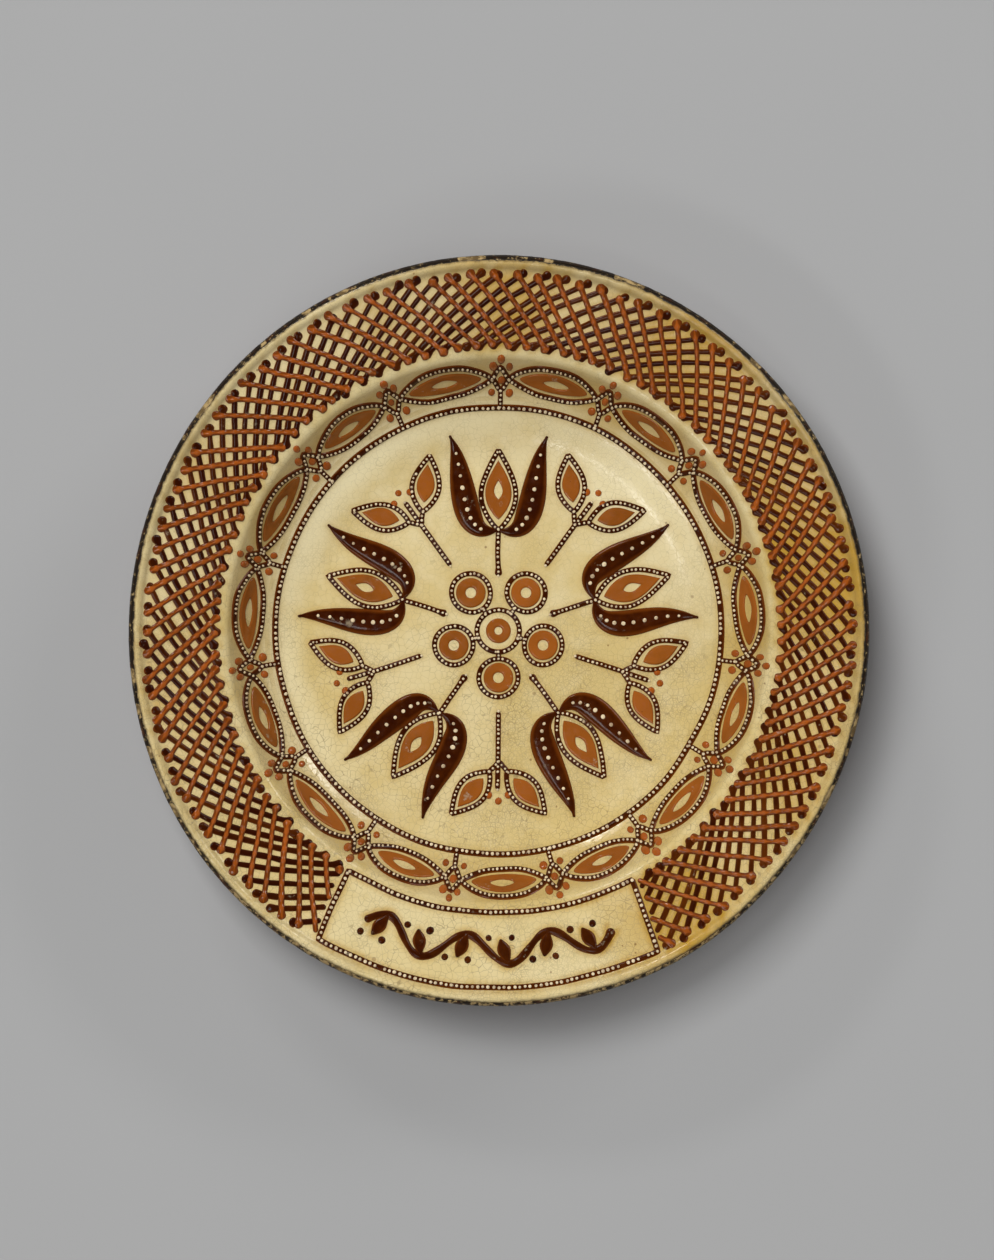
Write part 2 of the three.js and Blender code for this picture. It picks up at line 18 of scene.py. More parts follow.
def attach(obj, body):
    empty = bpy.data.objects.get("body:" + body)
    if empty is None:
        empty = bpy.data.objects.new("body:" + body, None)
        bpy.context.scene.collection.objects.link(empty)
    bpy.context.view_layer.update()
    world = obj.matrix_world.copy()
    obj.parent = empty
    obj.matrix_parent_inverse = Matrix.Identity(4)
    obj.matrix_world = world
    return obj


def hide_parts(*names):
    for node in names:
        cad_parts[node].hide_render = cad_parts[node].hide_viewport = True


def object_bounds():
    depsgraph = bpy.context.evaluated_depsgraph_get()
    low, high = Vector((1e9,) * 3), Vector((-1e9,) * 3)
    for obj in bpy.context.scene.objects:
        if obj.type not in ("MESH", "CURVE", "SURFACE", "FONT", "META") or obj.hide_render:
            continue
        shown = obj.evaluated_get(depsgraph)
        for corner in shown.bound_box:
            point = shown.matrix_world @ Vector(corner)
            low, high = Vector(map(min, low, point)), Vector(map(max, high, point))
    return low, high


bl_info = {
    "name": "Slipware dish",
    "version": (1, 0, 0),
    "blender": (4, 5, 0),
    "location": "3D View > Sidebar > Slipware",
    "description": "Builds a trailed-slip dish around its CAD frame",
    "category": "Object",
}

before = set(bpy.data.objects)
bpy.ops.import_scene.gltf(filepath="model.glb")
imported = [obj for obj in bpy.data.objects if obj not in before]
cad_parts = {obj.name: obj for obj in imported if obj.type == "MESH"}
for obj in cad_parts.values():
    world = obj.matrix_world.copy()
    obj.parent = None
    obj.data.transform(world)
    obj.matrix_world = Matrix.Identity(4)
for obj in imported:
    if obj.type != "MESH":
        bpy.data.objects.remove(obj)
cad_box = [list(corner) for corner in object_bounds()]
CAD_RADIUS = round((cad_box[1][0] - cad_box[0][0]) / 2, 3)

# The photograph's frame in pixels, and where the middle of the dish lies in it
PICTURE_WIDTH = 994
PICTURE_HEIGHT = 1260
DISH_MIDDLE = (498.4, 630.8)
RIM_IN_PICTURE = 373.15


def length(name, description, default):
    """A size in metres."""
    return FloatProperty(
        name=name, description=description, default=default, precision=4, unit="LENGTH"
    )


def angle(name, description, degrees):
    """An angle, given in degrees."""
    return FloatProperty(
        name=name, description=description, default=math.radians(degrees), subtype="ANGLE"
    )


def ratio(name, description, default):
    """A share of a whole."""
    return FloatProperty(name=name, description=description, default=default)


def tint(name, description, red, green, blue):
    """A colour, given as it shows on screen from 0 to 255."""
    shown = np.array([red, green, blue]) / 255
    linear = np.where(shown <= 0.04045, shown / 12.92, ((shown + 0.055) / 1.055) ** 2.4)
    return FloatVectorProperty(
        name=name, description=description, default=linear.tolist(), min=0, max=1, subtype="COLOR"
    )


class SLIP_PG_body(PropertyGroup):
    """The thrown body and its coat."""

    rim_radius: length("Rim radius", "Middle to the outside of the lip", CAD_RADIUS)
    floor_thickness: length("Floor", "Thickness of the floor", 0.010)
    wall_thickness: length("Wall", "Thickness of the wall and flange", 0.0085)
    base_radius: length("Base", "Radius of the flat base", 0.119)
    floor_radius: length("Flat floor", "Radius of the flat middle of the well", 0.106)
    well_radius: length("Well", "Radius of the corner between wall and flange", 0.162)
    well_depth: length("Depth", "Height from the floor to that corner", 0.040)
    wall_angle: angle("Wall angle", "Steepness of the wall under the corner", 66)
    flange_rise: length("Flange rise", "Height from the corner to the lip", 0.011)
    lip_radius: length("Lip", "Radius of the rolled lip", 0.0037)
    shoulder_round: length("Shoulder", "Run of the rounding of the corner", 0.0022)
    coat: length("Coat", "Height of the slip's face above the clay", 0.0012)
    softness: length("Softness", "Spread over which the wet clay rounds its corners", 0.0013)


class SLIP_PG_trellis(PropertyGroup):
    """The crossing trails on the flange."""

    pitch: angle("Pitch", "Between neighbouring trails of one colour", 3.45)
    orange_sweep: angle("Orange sweep", "Gained by an orange trail on its way inwards", 10.5)
    dark_sweep: angle("Dark sweep", "Lost by a dark trail on its way inwards", 18.5)
    dark_start: angle("Dark start", "From an orange blob to the dark one beside it", 0.70)
    bow: ratio("Bow", "Share of its sweep by which a trail lags halfway", 0.05)
    rim_margin: length("Rim margin", "From the foot of the lip to the outer ends", 0.0043)
    overrun: length("Overrun", "By which the outer blobs run past those ends", 0.0028)
    orange_width: length("Orange width", "Width of an orange trail", 0.0034)
    dark_width: length("Dark width", "Width of a dark trail", 0.0035)
    orange_blob: length("Orange blob", "Width of the blobs at the ends", 0.0060)
    dark_blob: length("Dark blob", "Width of the blobs at the ends", 0.0060)
    rise: length("Rise", "Height of a trail", 0.0011)
    lift_over: length("Lift", "By which orange rises over dark", 0.0011)
    shoulder_margin: length("Margin", "From the rounded shoulder to the inner blobs", 0.0020)


class SLIP_PG_panel(PropertyGroup):
    """The framed panel and its vine."""

    bearing: angle("Bearing", "Middle of the panel", 182)
    outer_span: angle("Outer span", "Between the side lines at the lip", 56.6)
    inner_span: angle("Inner span", "Between the side lines at the shoulder", 60.2)
    frame_width: length("Frame width", "Width of the beaded frame", 0.0036)
    clearance: length("Clearance", "From the middle of the frame to the cut trails", 0.0030)
    vine_span: angle("Vine span", "From end to end of the vine", 46)
    vine_swing: length("Vine swing", "Middle line to a crest", 0.0085)
    vine_waves: IntProperty(name="Vine waves", description="Full waves of the vine", default=3)
    vine_width: length("Vine width", "Width of the vine", 0.0046)
    leaf_width: length("Leaf width", "Width of a vine leaf", 0.0082)
    drop_radius: length("Drop radius", "Of the drops beside the leaves", 0.0023)
    leaf_lean: angle("Leaf lean", "By which a leaf leans along the panel", 1.5)
    rise: length("Rise", "Height of the vine", 0.0014)


class SLIP_PG_chain(PropertyGroup):
    """The leaf chain on the wall of the well."""

    margin: length("Margin", "From the corner of the well to the outer crests", 0.0048)
    height: length("Height", "From the outer crests to the inner ones", 0.0156)
    knot_height: length("Knot height", "Height of the diamonds", 0.0128)
    knot_reach: length("Knot reach", "Middle of a diamond to its crossings", 0.005)
    width: length("Width", "Width of the trails", 0.0034)
    rise: length("Rise", "Height of the trails", 0.0011)
    ring_drop: length("Ring drop", "From the inner crests to the ring", 0.0084)
    ring_width: length("Ring width", "Width of the ring", 0.0038)
    tip_gap: length("Tip gap", "From a crossing to the tip of the orange leaf", 0.0062)
    pad_gap: length("Pad gap", "Bare coat round a pad", 0.0009)
    pad_rise: length("Pad rise", "Height of a pad", 0.0008)
    window: ratio("Window", "Share of a leaf's length that is left open", 0.37)


class SLIP_PG_wheel(PropertyGroup):
    """The flower wheel in the well."""

    spokes: IntProperty(name="Spokes", description="Flowers round the wheel", default=5)
    outline_width: length("Outline", "Width of the outlines", 0.0033)
    outline_rise: length("Outline rise", "Height of the outlines", 0.0013)
    hub_radius: length("Hub", "Radius of the middle pad", 0.0075)
    hub_ring: length("Hub ring", "Radius of the ring round it", 0.0125)
    petal_stalk: length("Petal stalk", "From the ring to a petal", 0.004)
    petal_length: length("Petal length", "Length of a round petal", 0.023)
    petal_width: length("Petal width", "Width of a round petal", 0.023)
    stem_start: length("Stem start", "From the ring to a tulip's foot", 0.020)
    stem_length: length("Stem", "Length of a tulip's stem", 0.028)
    heart_length: length("Heart length", "Length of a tulip's heart", 0.047)
    heart_width: length("Heart width", "Width of a tulip's heart", 0.021)
    side_reach: length("Side petal reach", "From the stem to the petals' tips", 0.056)
    side_spread: length("Side petal spread", "Middle line to those tips", 0.029)
    side_width: length("Side petal width", "Greatest width of a side petal", 0.016)
    sprig_start: length("Sprig foot", "Middle of the dish to a sprig's foot", 0.048)
    sprig_stem: length("Sprig stem", "From foot to fork", 0.030)
    sprig_stalk: length("Sprig stalk", "From fork to leaf", 0.008)
    leaf_length: length("Leaf length", "Length of a sprig's leaf", 0.034)
    leaf_width: length("Leaf width", "Width of a sprig's leaf", 0.016)
    leaf_opening: angle("Leaf opening", "Between a leaf and its stem", 42)
    sprig_tip: length("Sprig tip", "From the fork to the end of the middle stalk", 0.017)


class SLIP_PG_dots(PropertyGroup):
    """The pale jewelling and the berries."""

    radius: length("Dot radius", "On the outlines", 0.00082)
    spacing: length("Dot spacing", "Along the outlines", 0.0027)
    ring_radius: length("Large dot radius", "On the ring and the panel's frame", 0.00104)
    ring_spacing: length("Large dot spacing", "Along the ring and the frame", 0.0031)
    rise: length("Rise", "Height of a dot above its trail", 0.00042)
    berry_radius: length("Berry radius", "Of the orange berries", 0.0024)


class SLIP_PG_finish(PropertyGroup):
    """The colours of clay, slip and glaze."""

    cream: tint("Cream slip", "Cream slip under clear glaze", 217, 199, 150)
    # This paler cream is laid on as painted light: the pale mark lightens the wall's foot and the
    # flange and paints a sheen on the floor
    pale: tint("Pale slip", "Cream slip where the glaze ran off", 236, 222, 178)
    straw: tint("Straw", "Cream slip where the glaze is thicker", 204, 180, 118)
    amber: tint("Amber", "Glaze pooled beside dark trails", 176, 132, 20)
    olive: tint("Olive", "Thin grubby glaze by the lip", 146, 122, 70)
    dark: tint("Dark slip", "Thick dark slip", 46, 12, 1)
    dark_thin: tint("Thin dark slip", "Dark slip thinning at its edge", 98, 46, 6)
    orange: tint("Orange slip", "Orange slip", 156, 78, 22)
    # This darker tone is also painted shade where an orange trail dips between the dark trails
    orange_deep: tint("Deep orange slip", "Orange slip where it is thin", 108, 50, 8)
    wash: tint("Orange wash", "Orange slip spread into a leaf", 146, 80, 24)
    wash_deep: tint("Deep orange wash", "Such slip where it is thin", 104, 60, 12)
    worn: tint("Worn glaze", "Where the glaze is scuffed dull", 150, 134, 108)
    dot: tint("Jewelling", "Pale dots", 226, 206, 168)
    clay: tint("Clay", "Bare fired clay", 164, 96, 62)
    edge: tint("Lip", "Worn glazed lip", 30, 20, 8)
    grime: tint("Grime", "Dirt in cracks and chips", 104, 84, 52)
    buff: tint("Buff", "Chipped slip on the lip", 178, 152, 104)


class SLIP_PG_studio(PropertyGroup):
    """Floor, lamps and camera."""

    floor: tint("Floor", "The plain floor", 164, 164, 164)
    camera_height: length("Camera height", "Above the rim", 4.0)
    key_level: ratio("Key", "Share of full light from the key lamp", 0.54)
    fill_level: ratio("Fill", "Share of full light from the soft lamp above", 0.20)
    strip_level: ratio("Strips", "Share of full light from a whole strip", 0.10)


SIZES = {
    "slip_body": SLIP_PG_body,
    "slip_trellis": SLIP_PG_trellis,
    "slip_panel": SLIP_PG_panel,
    "slip_chain": SLIP_PG_chain,
    "slip_wheel": SLIP_PG_wheel,
    "slip_dots": SLIP_PG_dots,
    "slip_finish": SLIP_PG_finish,
    "slip_studio": SLIP_PG_studio,
}

# Bearings of the knots between the leaves, in degrees, a little uneven as a hand spaces them
KNOTS = np.radians([0.5, 25, 49, 73, 97.5, 121, 144.5, 167, 190.5, 213, 238, 261.5, 286.5, 312, 335])


# Plan and section geometry

# The coat ends where the lip turns down, at this angle from the horizontal in degrees
LIP_END = 58


def at(bearing, radius):
    """Plan points from bearings and radii."""
    return np.stack(np.broadcast_arrays(radius * np.sin(bearing), radius * np.cos(bearing)), -1)


def around(count):
    """Even bearings all the way round."""
    return np.linspace(0, 2 * math.pi, count, endpoint=False)


def bearing_of(points):
    """The bearing of each point."""
    return np.arctan2(points[..., 0], points[..., 1])


def apart(bearing, other):
    """The turn between bearings, the short way round."""
    return np.angle(np.exp(1j * (bearing - other)))


def smoothstep(value, low, high):
    """0 below low, 1 above high and a soft step between."""
    share = np.clip((value - low) / (high - low), 0, 1)
    return share * share * (3 - 2 * share)


def bezier(a, b, c, steps):
    """Points of a quadratic curve."""
    t = np.linspace(0, 1, steps)[:, None]
    return (1 - t) ** 2 * np.array(a) + 2 * t * (1 - t) * np.array(b) + t * t * np.array(c)


def arc(middle, radius, start, end, steps):
    """Points of an arc in the section, from one angle to another in degrees."""
    turn = np.radians(np.linspace(start, end, steps))
    return np.array(middle) + radius * np.stack([np.cos(turn), np.sin(turn)], -1)


def along(line, closed=False):
    """Distance run at each point of a line, and its whole length."""
    ring = np.vstack([line, line[:1]]) if closed else line
    run = np.concatenate([[0], np.cumsum(np.linalg.norm(np.diff(ring, axis=0), axis=1))])
    return (run[:-1], run[-1]) if closed else (run, run[-1])


def on_line(where, run, line):
    """Points at given distances along a line."""
    return np.stack([np.interp(where, run, line[:, k]) for k in (0, 1)], -1)


def evenly(line, step):
    """The same line with points at an even step."""
    run, total = along(line)
    return on_line(np.linspace(0, total, int(total / step) + 1), run, line)


def to_the_right(ahead):
    """Unit vectors square to the way a line runs."""
    ahead = ahead / np.linalg.norm(ahead, axis=1)[:, None]
    return np.stack([ahead[:, 1], -ahead[:, 0]], -1)


def curved(points, per):
    """A smooth closed line through control points, with some points per stretch."""
    padded = np.vstack([points[-1:], points, points[:2]])
    t = np.linspace(0, 1, per, endpoint=False)[:, None]
    pieces = []
    for a, b, c, d in zip(padded, padded[1:], padded[2:], padded[3:]):
        stretch = 2 * b + (c - a) * t
        stretch = stretch + (2 * a - 5 * b + 4 * c - d) * t**2
        pieces.append(0.5 * (stretch + (3 * b - a - 3 * c + d) * t**3))
    return np.vstack(pieces)


def lip_middle(body):
    """The middle of the rolled lip in the section."""
    height = body.floor_thickness + body.well_depth + body.flange_rise
    return body.rim_radius - body.lip_radius, height


def softened(line, step, spread):
    """An even line from the axis outwards with its corners rounded, as wet clay rounds them."""
    reach = int(3 * spread / step)
    weight = np.exp(-0.5 * (np.arange(-reach, reach + 1) * step / spread) ** 2)
    weight /= weight.sum()
    mirrored = line[1 : reach + 1][::-1] * [-1, 1]
    onwards = line[-1] + (line[-1] - line[-2]) * np.arange(1, reach + 1)[:, None]
    padded = np.vstack([mirrored, line, onwards])
    soft = np.stack([np.convolve(padded[:, k], weight, "valid") for k in (0, 1)], -1)
    soft[0, 0] = 0
    return soft


def clay_line(body):
    """The upper line of the clay, from the axis over the well and flange to the crest of the lip."""
    floor = body.floor_thickness
    corner = np.array([body.well_radius, floor + body.well_depth])
    middle = lip_middle(body)
    flange_end = np.array([middle[0] - body.lip_radius, middle[1]])
    up_wall = np.array([math.cos(body.wall_angle), math.sin(body.wall_angle)])
    along_flange = (flange_end - corner) / np.linalg.norm(flange_end - corner)
    wall_end = corner - up_wall * body.shoulder_round
    flange_start = corner + along_flange * body.shoulder_round
    wall_run = (wall_end[1] - floor) / math.tan(body.wall_angle)
    wall_foot = (max(wall_end[0] - wall_run, body.floor_radius + 0.001), floor)
    parts = [
        [[0, floor]],
        bezier((body.floor_radius, floor), wall_foot, wall_end, 60),
        bezier(wall_end, corner, flange_start, 12)[1:],
        arc(middle, body.lip_radius, 180, LIP_END, 24),
    ]
    step = 0.0004
    return softened(evenly(np.vstack(parts), step), step, body.softness)


class Surface:
    """The upper face of the coat, which slip is laid on."""

    def __init__(self, body):
        self.clay = clay_line(body)
        self.normals = -to_the_right(np.gradient(self.clay, axis=0))
        run, total = along(self.clay)
        sunk_end, taper = 0.0003, 0.0022
        thickness = body.coat - (body.coat + sunk_end) * smoothstep(run, total - taper, total)
        self.face = self.clay + self.normals * thickness[:, None]
        laid = self.face[:, 0] < body.rim_radius - 1.4 * body.lip_radius
        self.radius = np.maximum.accumulate(self.face[laid, 0])
        self.profile = [self.face[laid, 1], *self.normals[laid].T]

    def drape(self, plan, lift):
        """Points that stand a given lift off the face over plan points, square to it."""
        radius = np.linalg.norm(plan, axis=-1)
        height, inward, upward = (np.interp(radius, self.radius, row) for row in self.profile)
        out = plan / np.maximum(radius, 1e-9)[..., None]
        moved = plan + out * (inward * lift)[..., None]
        return np.concatenate([moved, (height + upward * lift)[..., None]], -1)


def hand_thrown(points):
    """Moves points as the whole dish is slightly out of round and out of true."""
    points = np.array(points, float)
    bearing = bearing_of(points)
    nominal_radius, bulge_spread = 0.22, 0.28
    reach = np.hypot(points[:, 0], points[:, 1]) / nominal_radius
    bulge = np.exp(-((apart(bearing, math.radians(150)) / bulge_spread) ** 2))
    wide = 0.0072 * np.cos(2 * (bearing - math.radians(7)))
    wide += 0.0018 * np.cos(3 * bearing + 1.1) + 0.007 * bulge
    points[:, :2] *= (1 + wide * reach**2)[:, None]
    points[:, 2] += 0.0006 * np.sin(2 * bearing + 0.8) * np.clip(reach - 0.6, 0, 1)
    return points


def chip_depth(bearing):
    """How deep the lip is chipped at each bearing: chips over a fine roughness."""
    rng = np.random.default_rng(41)
    chips, roughness = 64, 0.00005
    depth = np.zeros_like(bearing)
    for _ in range(chips):
        middle = rng.uniform(-math.pi, math.pi)
        half = math.radians(0.25 + 2.4 * rng.uniform() ** 3)
        deep = 0.0001 + 0.0009 * rng.uniform() ** 1.6
        off = np.abs(apart(bearing, middle)) / half
        depth = np.maximum(depth, deep * np.clip(1 - off**3, 0, 1))
    for times in (67, 113, 191):
        depth += roughness * (1 + np.sin(times * bearing + rng.uniform(0, 6)))
    return depth


def worn(points, body):
    """Wears the outer quarter of the lip, and says how far each point is chipped."""
    points = np.array(points, float)
    middle = lip_middle(body)
    radius = np.hypot(points[:, 0], points[:, 1])
    out = np.stack([radius - middle[0], points[:, 2] - middle[1]], -1)
    reach = np.linalg.norm(out, axis=1)
    turn = np.degrees(np.arctan2(out[:, 1], out[:, 0]))
    on_lip = (reach < body.lip_radius + 0.0025) & (radius > middle[0] - 0.001)
    most_worn, spread = 38, 52
    wear = np.clip(1 - ((turn - most_worn) / spread) ** 2, 0, 1)
    depth = chip_depth(bearing_of(points)) * wear * on_lip
    inwards = out / np.maximum(reach, 1e-9)[:, None] * depth[:, None]
    radial = points[:, :2] / np.maximum(radius, 1e-9)[:, None]
    points[:, :2] -= radial * inwards[:, :1]
    points[:, 2] -= inwards[:, 1]
    fully_chipped = 0.0006
    return points, depth / fully_chipped


# Mesh making

# The foot of a trail, a pad or a dot sinks this far into what carries it
SUNK = 0.00018

# How far an orange trail turns to its darker thin tone where it dips between the dark trails it
# rides over: painted shade in the valleys
VALLEY_SHADE = 0.6

# A pad reaches its full height this far in from its edge
PAD_EDGE = 0.0011

# The share of a trail's height at which the dots on it sit
DOT_SEAT = 0.86

# Heights of the panel's frame and of the chain's ring, and the least half widths of leaves
FRAME_RISE = 0.0011
RING_RISE = 0.0013
THINNEST_LEAF = 0.0008
THINNEST_PETAL = 0.0009

# Steps along a trail and a trellis trail, and points across one
TRAIL_STEP = 0.0013
TRELLIS_STEP = 0.00145
SECTION_POINTS = 9

# Where the rings of a round end and the rows of a pad lie, as shares of its length and its width
NOSE = 1 - np.cos(np.linspace(0, math.pi / 2, 6))
PAD_ROWS = np.array([0, 0.02, 0.06, 0.12, 0.2, 0.32, 0.5, 0.68, 0.8, 0.88, 0.94, 0.98, 1.0])

# Radius and height of the rings of a drop of slip, as shares, and the points in each
DROP_RINGS = np.array([[1.0, 0.0], [0.86, 0.5], [0.5, 0.87]])
DROP_SIDES = 10


@dataclass
class Trail:
    """A stroke of slip: its plan line, its half width and its height along it.

    Bulge squares off its section, stroke is how thin its slip is, over is how far it rises over
    the trails it crosses, and no row of dots goes on a broad one.
    """

    line: np.ndarray
    half: np.ndarray
    rise: np.ndarray
    closed: bool = False
    bulge: float = 2.0
    stroke: float = 0.5
    over: np.ndarray = None
    broad: bool = False


def grid_faces(rows, columns, ring_rows=False):
    """Four-sided faces over rings of points counted row by row."""
    ends = np.arange(rows if ring_rows else rows - 1)
    i, j = np.meshgrid(ends, np.arange(columns), indexing="ij")
    up, on = (i + 1) % rows, (j + 1) % columns
    corners = [i * columns + j, up * columns + j, up * columns + on, i * columns + on]
    return np.stack([corner.ravel() for corner in corners], -1).tolist()


def end_caps(rows, columns):
    """Faces that close the first and the last ring of a grid."""
    last = (rows - 1) * columns
    return [list(range(columns)), [last + k for k in range(columns)][::-1]]


def spin(section, turns):
    """Points and faces of a section turned about the axis, both of whose ends lie on it."""
    rings = section[1:-1]
    plan = rings[:, 0, None, None] * at(around(turns), 1.0)[None]
    height = np.broadcast_to(rings[:, 1, None, None], plan.shape[:2] + (1,))
    points = np.concatenate([plan, height], -1).reshape(-1, 3)
    faces = grid_faces(len(rings), turns)
    poles = [[0, 0, section[0, 1]], [0, 0, section[-1, 1]]]
    first, last = len(points), len(points) + 1
    bottom = (len(rings) - 1) * turns
    for j in range(turns):
        k = (j + 1) % turns
        faces.append([first, j, k])
        faces.append([last, bottom + k, bottom + j])
    return np.vstack([points, poles]), faces


class Batch:
    """Gathers points, faces and a mark for every point, and makes one closed mesh of them."""

    def __init__(self, scene):
        self.scene = scene
        self.surface = Surface(scene.slip_body)
        self.points = []
        self.faces = []
        self.marks = {}
        self.count = 0

    def add(self, points, faces, **marks):
        """Adds points with faces that count from the first of them."""
        shift = self.count
        self.points.append(points)
        self.faces.extend([tuple(i + shift for i in face) for face in faces])
        for name, value in marks.items():
            before = self.marks.setdefault(name, [])
            before.append(np.broadcast_to(np.asarray(value, float), (len(points),)))
        self.count += len(points)

    def build(self, name, finish):
        """The mesh as an object with that material."""
        mesh = bpy.data.meshes.new(name)
        mesh.from_pydata(hand_thrown(np.vstack(self.points)).tolist(), [], self.faces)
        shape = bmesh.new()
        shape.from_mesh(mesh)
        bmesh.ops.recalc_face_normals(shape, faces=shape.faces)
        shape.to_mesh(mesh)
        shape.free()
        mesh.polygons.foreach_set("use_smooth", np.ones(len(mesh.polygons), bool))
        for mark, values in self.marks.items():
            layer = mesh.attributes.new(mark, "FLOAT", "POINT")
            layer.data.foreach_set("value", np.concatenate(values).astype(np.float32))
        mesh.materials.append(finish)
        mesh.update()
        piece = bpy.data.objects.new(name, mesh)
        bpy.context.scene.collection.objects.link(piece)
        return piece

    def settle(self, name, finish, node):
        """Builds the piece, fixes it to the dish and hides the CAD node it stands for."""
        piece = self.build(name, finish_of(self.scene, finish))
        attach(piece, "root")
        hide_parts(node)

    def lay_trails(self, trails, step=TRAIL_STEP):
        """Lays trails of slip one after the other."""
        for trail in trails:
            self.lay_trail(trail, step)

    def lay_trail(self, trail, step=TRAIL_STEP):
        """Lays one trail of slip, with round ends where it is open."""
        line, closed = trail.line, trail.closed
        run, total = along(line, closed)
        half = np.broadcast_to(trail.half, len(line))
        rise = np.broadcast_to(trail.rise, len(line))
        if closed:
            where = np.linspace(0, total, max(int(total / step), 12), endpoint=False)
            run = np.append(run, total)
            line, half, rise = (np.concatenate([v, v[:1]]) for v in (line, half, rise))
            round_off = np.ones_like(where)
        else:
            nose, tail = (min(end, total / 2.2) for end in (half[0], half[-1]))
            middle = np.linspace(nose, total - tail, max(int((total - nose - tail) / step), 2))
            where = np.concatenate([nose * NOSE[:-1], middle, total - tail * NOSE[-2::-1]])
            from_end = np.minimum(where / nose, (total - where) / tail)
            round_off = np.sqrt(np.clip(1 - (1 - np.clip(from_end, 0, 1)) ** 2, 0.004, 1))
        line = on_line(where, run, line)
        half = np.interp(where, run, half) * round_off
        rise = np.interp(where, run, rise) * round_off**0.7
        ahead = np.roll(line, -1, 0) - np.roll(line, 1, 0) if closed else np.gradient(line, axis=0)
        side = np.cos(np.linspace(0, math.pi, SECTION_POINTS))
        crown = (1 - np.abs(side) ** trail.bulge).clip(0) ** (1 / min(trail.bulge, 2.4))
        plan = line[:, None] + to_the_right(ahead)[:, None] * (half[:, None] * side)[..., None]
        lift = rise[:, None] * crown - SUNK * (1 - crown)
        low = np.broadcast_to(np.abs(side), lift.shape).copy()
        if trail.over is not None:
            over = np.interp(where, run, trail.over)
            lift += (over * round_off)[:, None] * (0.35 + 0.65 * crown)
            # Painted shade: the colour darkens where the trail dips between the trails it rides over
            low += (VALLEY_SHADE * (1 - over / over.max()))[:, None]
        faces = grid_faces(len(line), SECTION_POINTS, ring_rows=closed)
        if not closed:
            faces += end_caps(len(line), SECTION_POINTS)
        points = self.surface.drape(plan, lift).reshape(-1, 3)
        self.add(points, faces, side=low.ravel(), stroke=trail.stroke)

    def lay_pad(self, outline, rise, window=None, stroke=0.5):
        """Lays a flat pad of slip inside an outline, with an opening if a window line is given."""
        rows, count = len(PAD_ROWS), len(outline)
        middle = outline.mean(0)
        inner = middle + (outline - middle) * 0.04 if window is None else window
        plan = outline[None] + (inner - outline)[None] * PAD_ROWS[:, None, None]
        width = np.linalg.norm(inner - outline, axis=1)[None] * PAD_ROWS[:, None]
        edge = width if window is None else np.minimum(width, width[-1:] - width)
        crown = np.sqrt(1 - (1 - np.clip(edge / PAD_EDGE, 0, 1)) ** 2)
        points = self.surface.drape(plan, rise * crown - SUNK * (1 - crown)).reshape(-1, 3)
        faces = grid_faces(rows, count, ring_rows=window is not None)
        if window is None:
            faces += end_caps(rows, count)
        self.add(points, faces, side=(1 - crown).ravel(), stroke=stroke)

    def lay_drops(self, middles, radii, base, rise, rng):
        """Lays round drops of slip."""
        sides = DROP_SIDES
        ring_plan = DROP_RINGS[:, 0, None, None] * at(around(sides), 1.0)[None]
        template = np.vstack([ring_plan.reshape(-1, 2), [[0, 0]]])
        heights = np.append(np.repeat(DROP_RINGS[:, 1], sides), 1.0)
        faces = grid_faces(len(DROP_RINGS), sides)
        top = len(DROP_RINGS) * sides
        faces += [[top - sides + j, top - sides + (j + 1) % sides, top] for j in range(sides)]
        faces.append(list(range(sides)))
        radii = np.broadcast_to(radii, len(middles)) * rng.uniform(0.86, 1.12, len(middles))
        for middle, radius in zip(middles, radii):
            stretch = rng.uniform(0.9, 1.12)
            spun = rng.uniform(0, math.pi)
            axis = np.array([math.cos(spun), math.sin(spun)])
            shape = template + (template @ axis)[:, None] * axis * (stretch - 1)
            lift = base + rise * heights * rng.uniform(0.85, 1.1) - SUNK * (heights == 0)
            points = self.surface.drape(middle + shape * radius, lift)
            self.add(points, faces, side=1 - heights, stroke=rng.uniform())

    def lay_dots(self, trail, spacing, radius, rng, skip=0.02):
        """Lays a row of jewelling on a trail, a few dots of which were missed."""
        places = dots_along(trail, spacing, rng, skip)
        rise = self.scene.slip_dots.rise
        self.lay_drops(places, radius, trail.rise * DOT_SEAT, rise, rng)


# What is drawn on the dish


def dots_along(trail, spacing, rng, skip):
    """Places for jewelling along a trail, a few of which were missed."""
    line = trail.line
    run, total = along(line, trail.closed)
    count = max(int(round(total / spacing)), 2)
    if trail.closed:
        line, run = np.vstack([line, line[:1]]), np.append(run, total)
        where = np.linspace(0, total, count, endpoint=False)
    else:
        where = np.linspace(0, total, count + 1)
    where = where + rng.normal(0, 0.06 * spacing, len(where))
    places = on_line(where, run, line)
    places += rng.normal(0, 0.00012, places.shape)
    return places[rng.uniform(size=len(places)) > skip]


def uneven(run, rng, size, every, closed_length=None):
    """Smooth random values along a run of distances, one new value every so far."""
    total = closed_length or run[-1]
    knots = max(int(total / every), 2) + 1
    drift = rng.normal(0, size, knots)
    if closed_length:
        drift[-1] = drift[0]
    share = run / total * (knots - 1)
    low = np.floor(share).astype(int).clip(0, knots - 2)
    part = smoothstep(share - low, 0, 1)
    return drift[low] * (1 - part) + drift[low + 1] * part


def wavering(line, rng, size=0.0003, every=0.02, closed=False):
    """The line as an unsteady hand draws it."""
    run, total = along(line, closed)
    ring = total if closed else None
    return line + np.stack([uneven(run, rng, size, every, ring) for _ in (0, 1)], -1)


def trellis_edges(scene):
    """The radii between which a trail gains its sweep."""
    body, trellis = scene.slip_body, scene.slip_trellis
    outer = body.rim_radius - 2 * body.lip_radius - trellis.rim_margin
    return outer, body.well_radius + body.shoulder_round + trellis.shoulder_margin


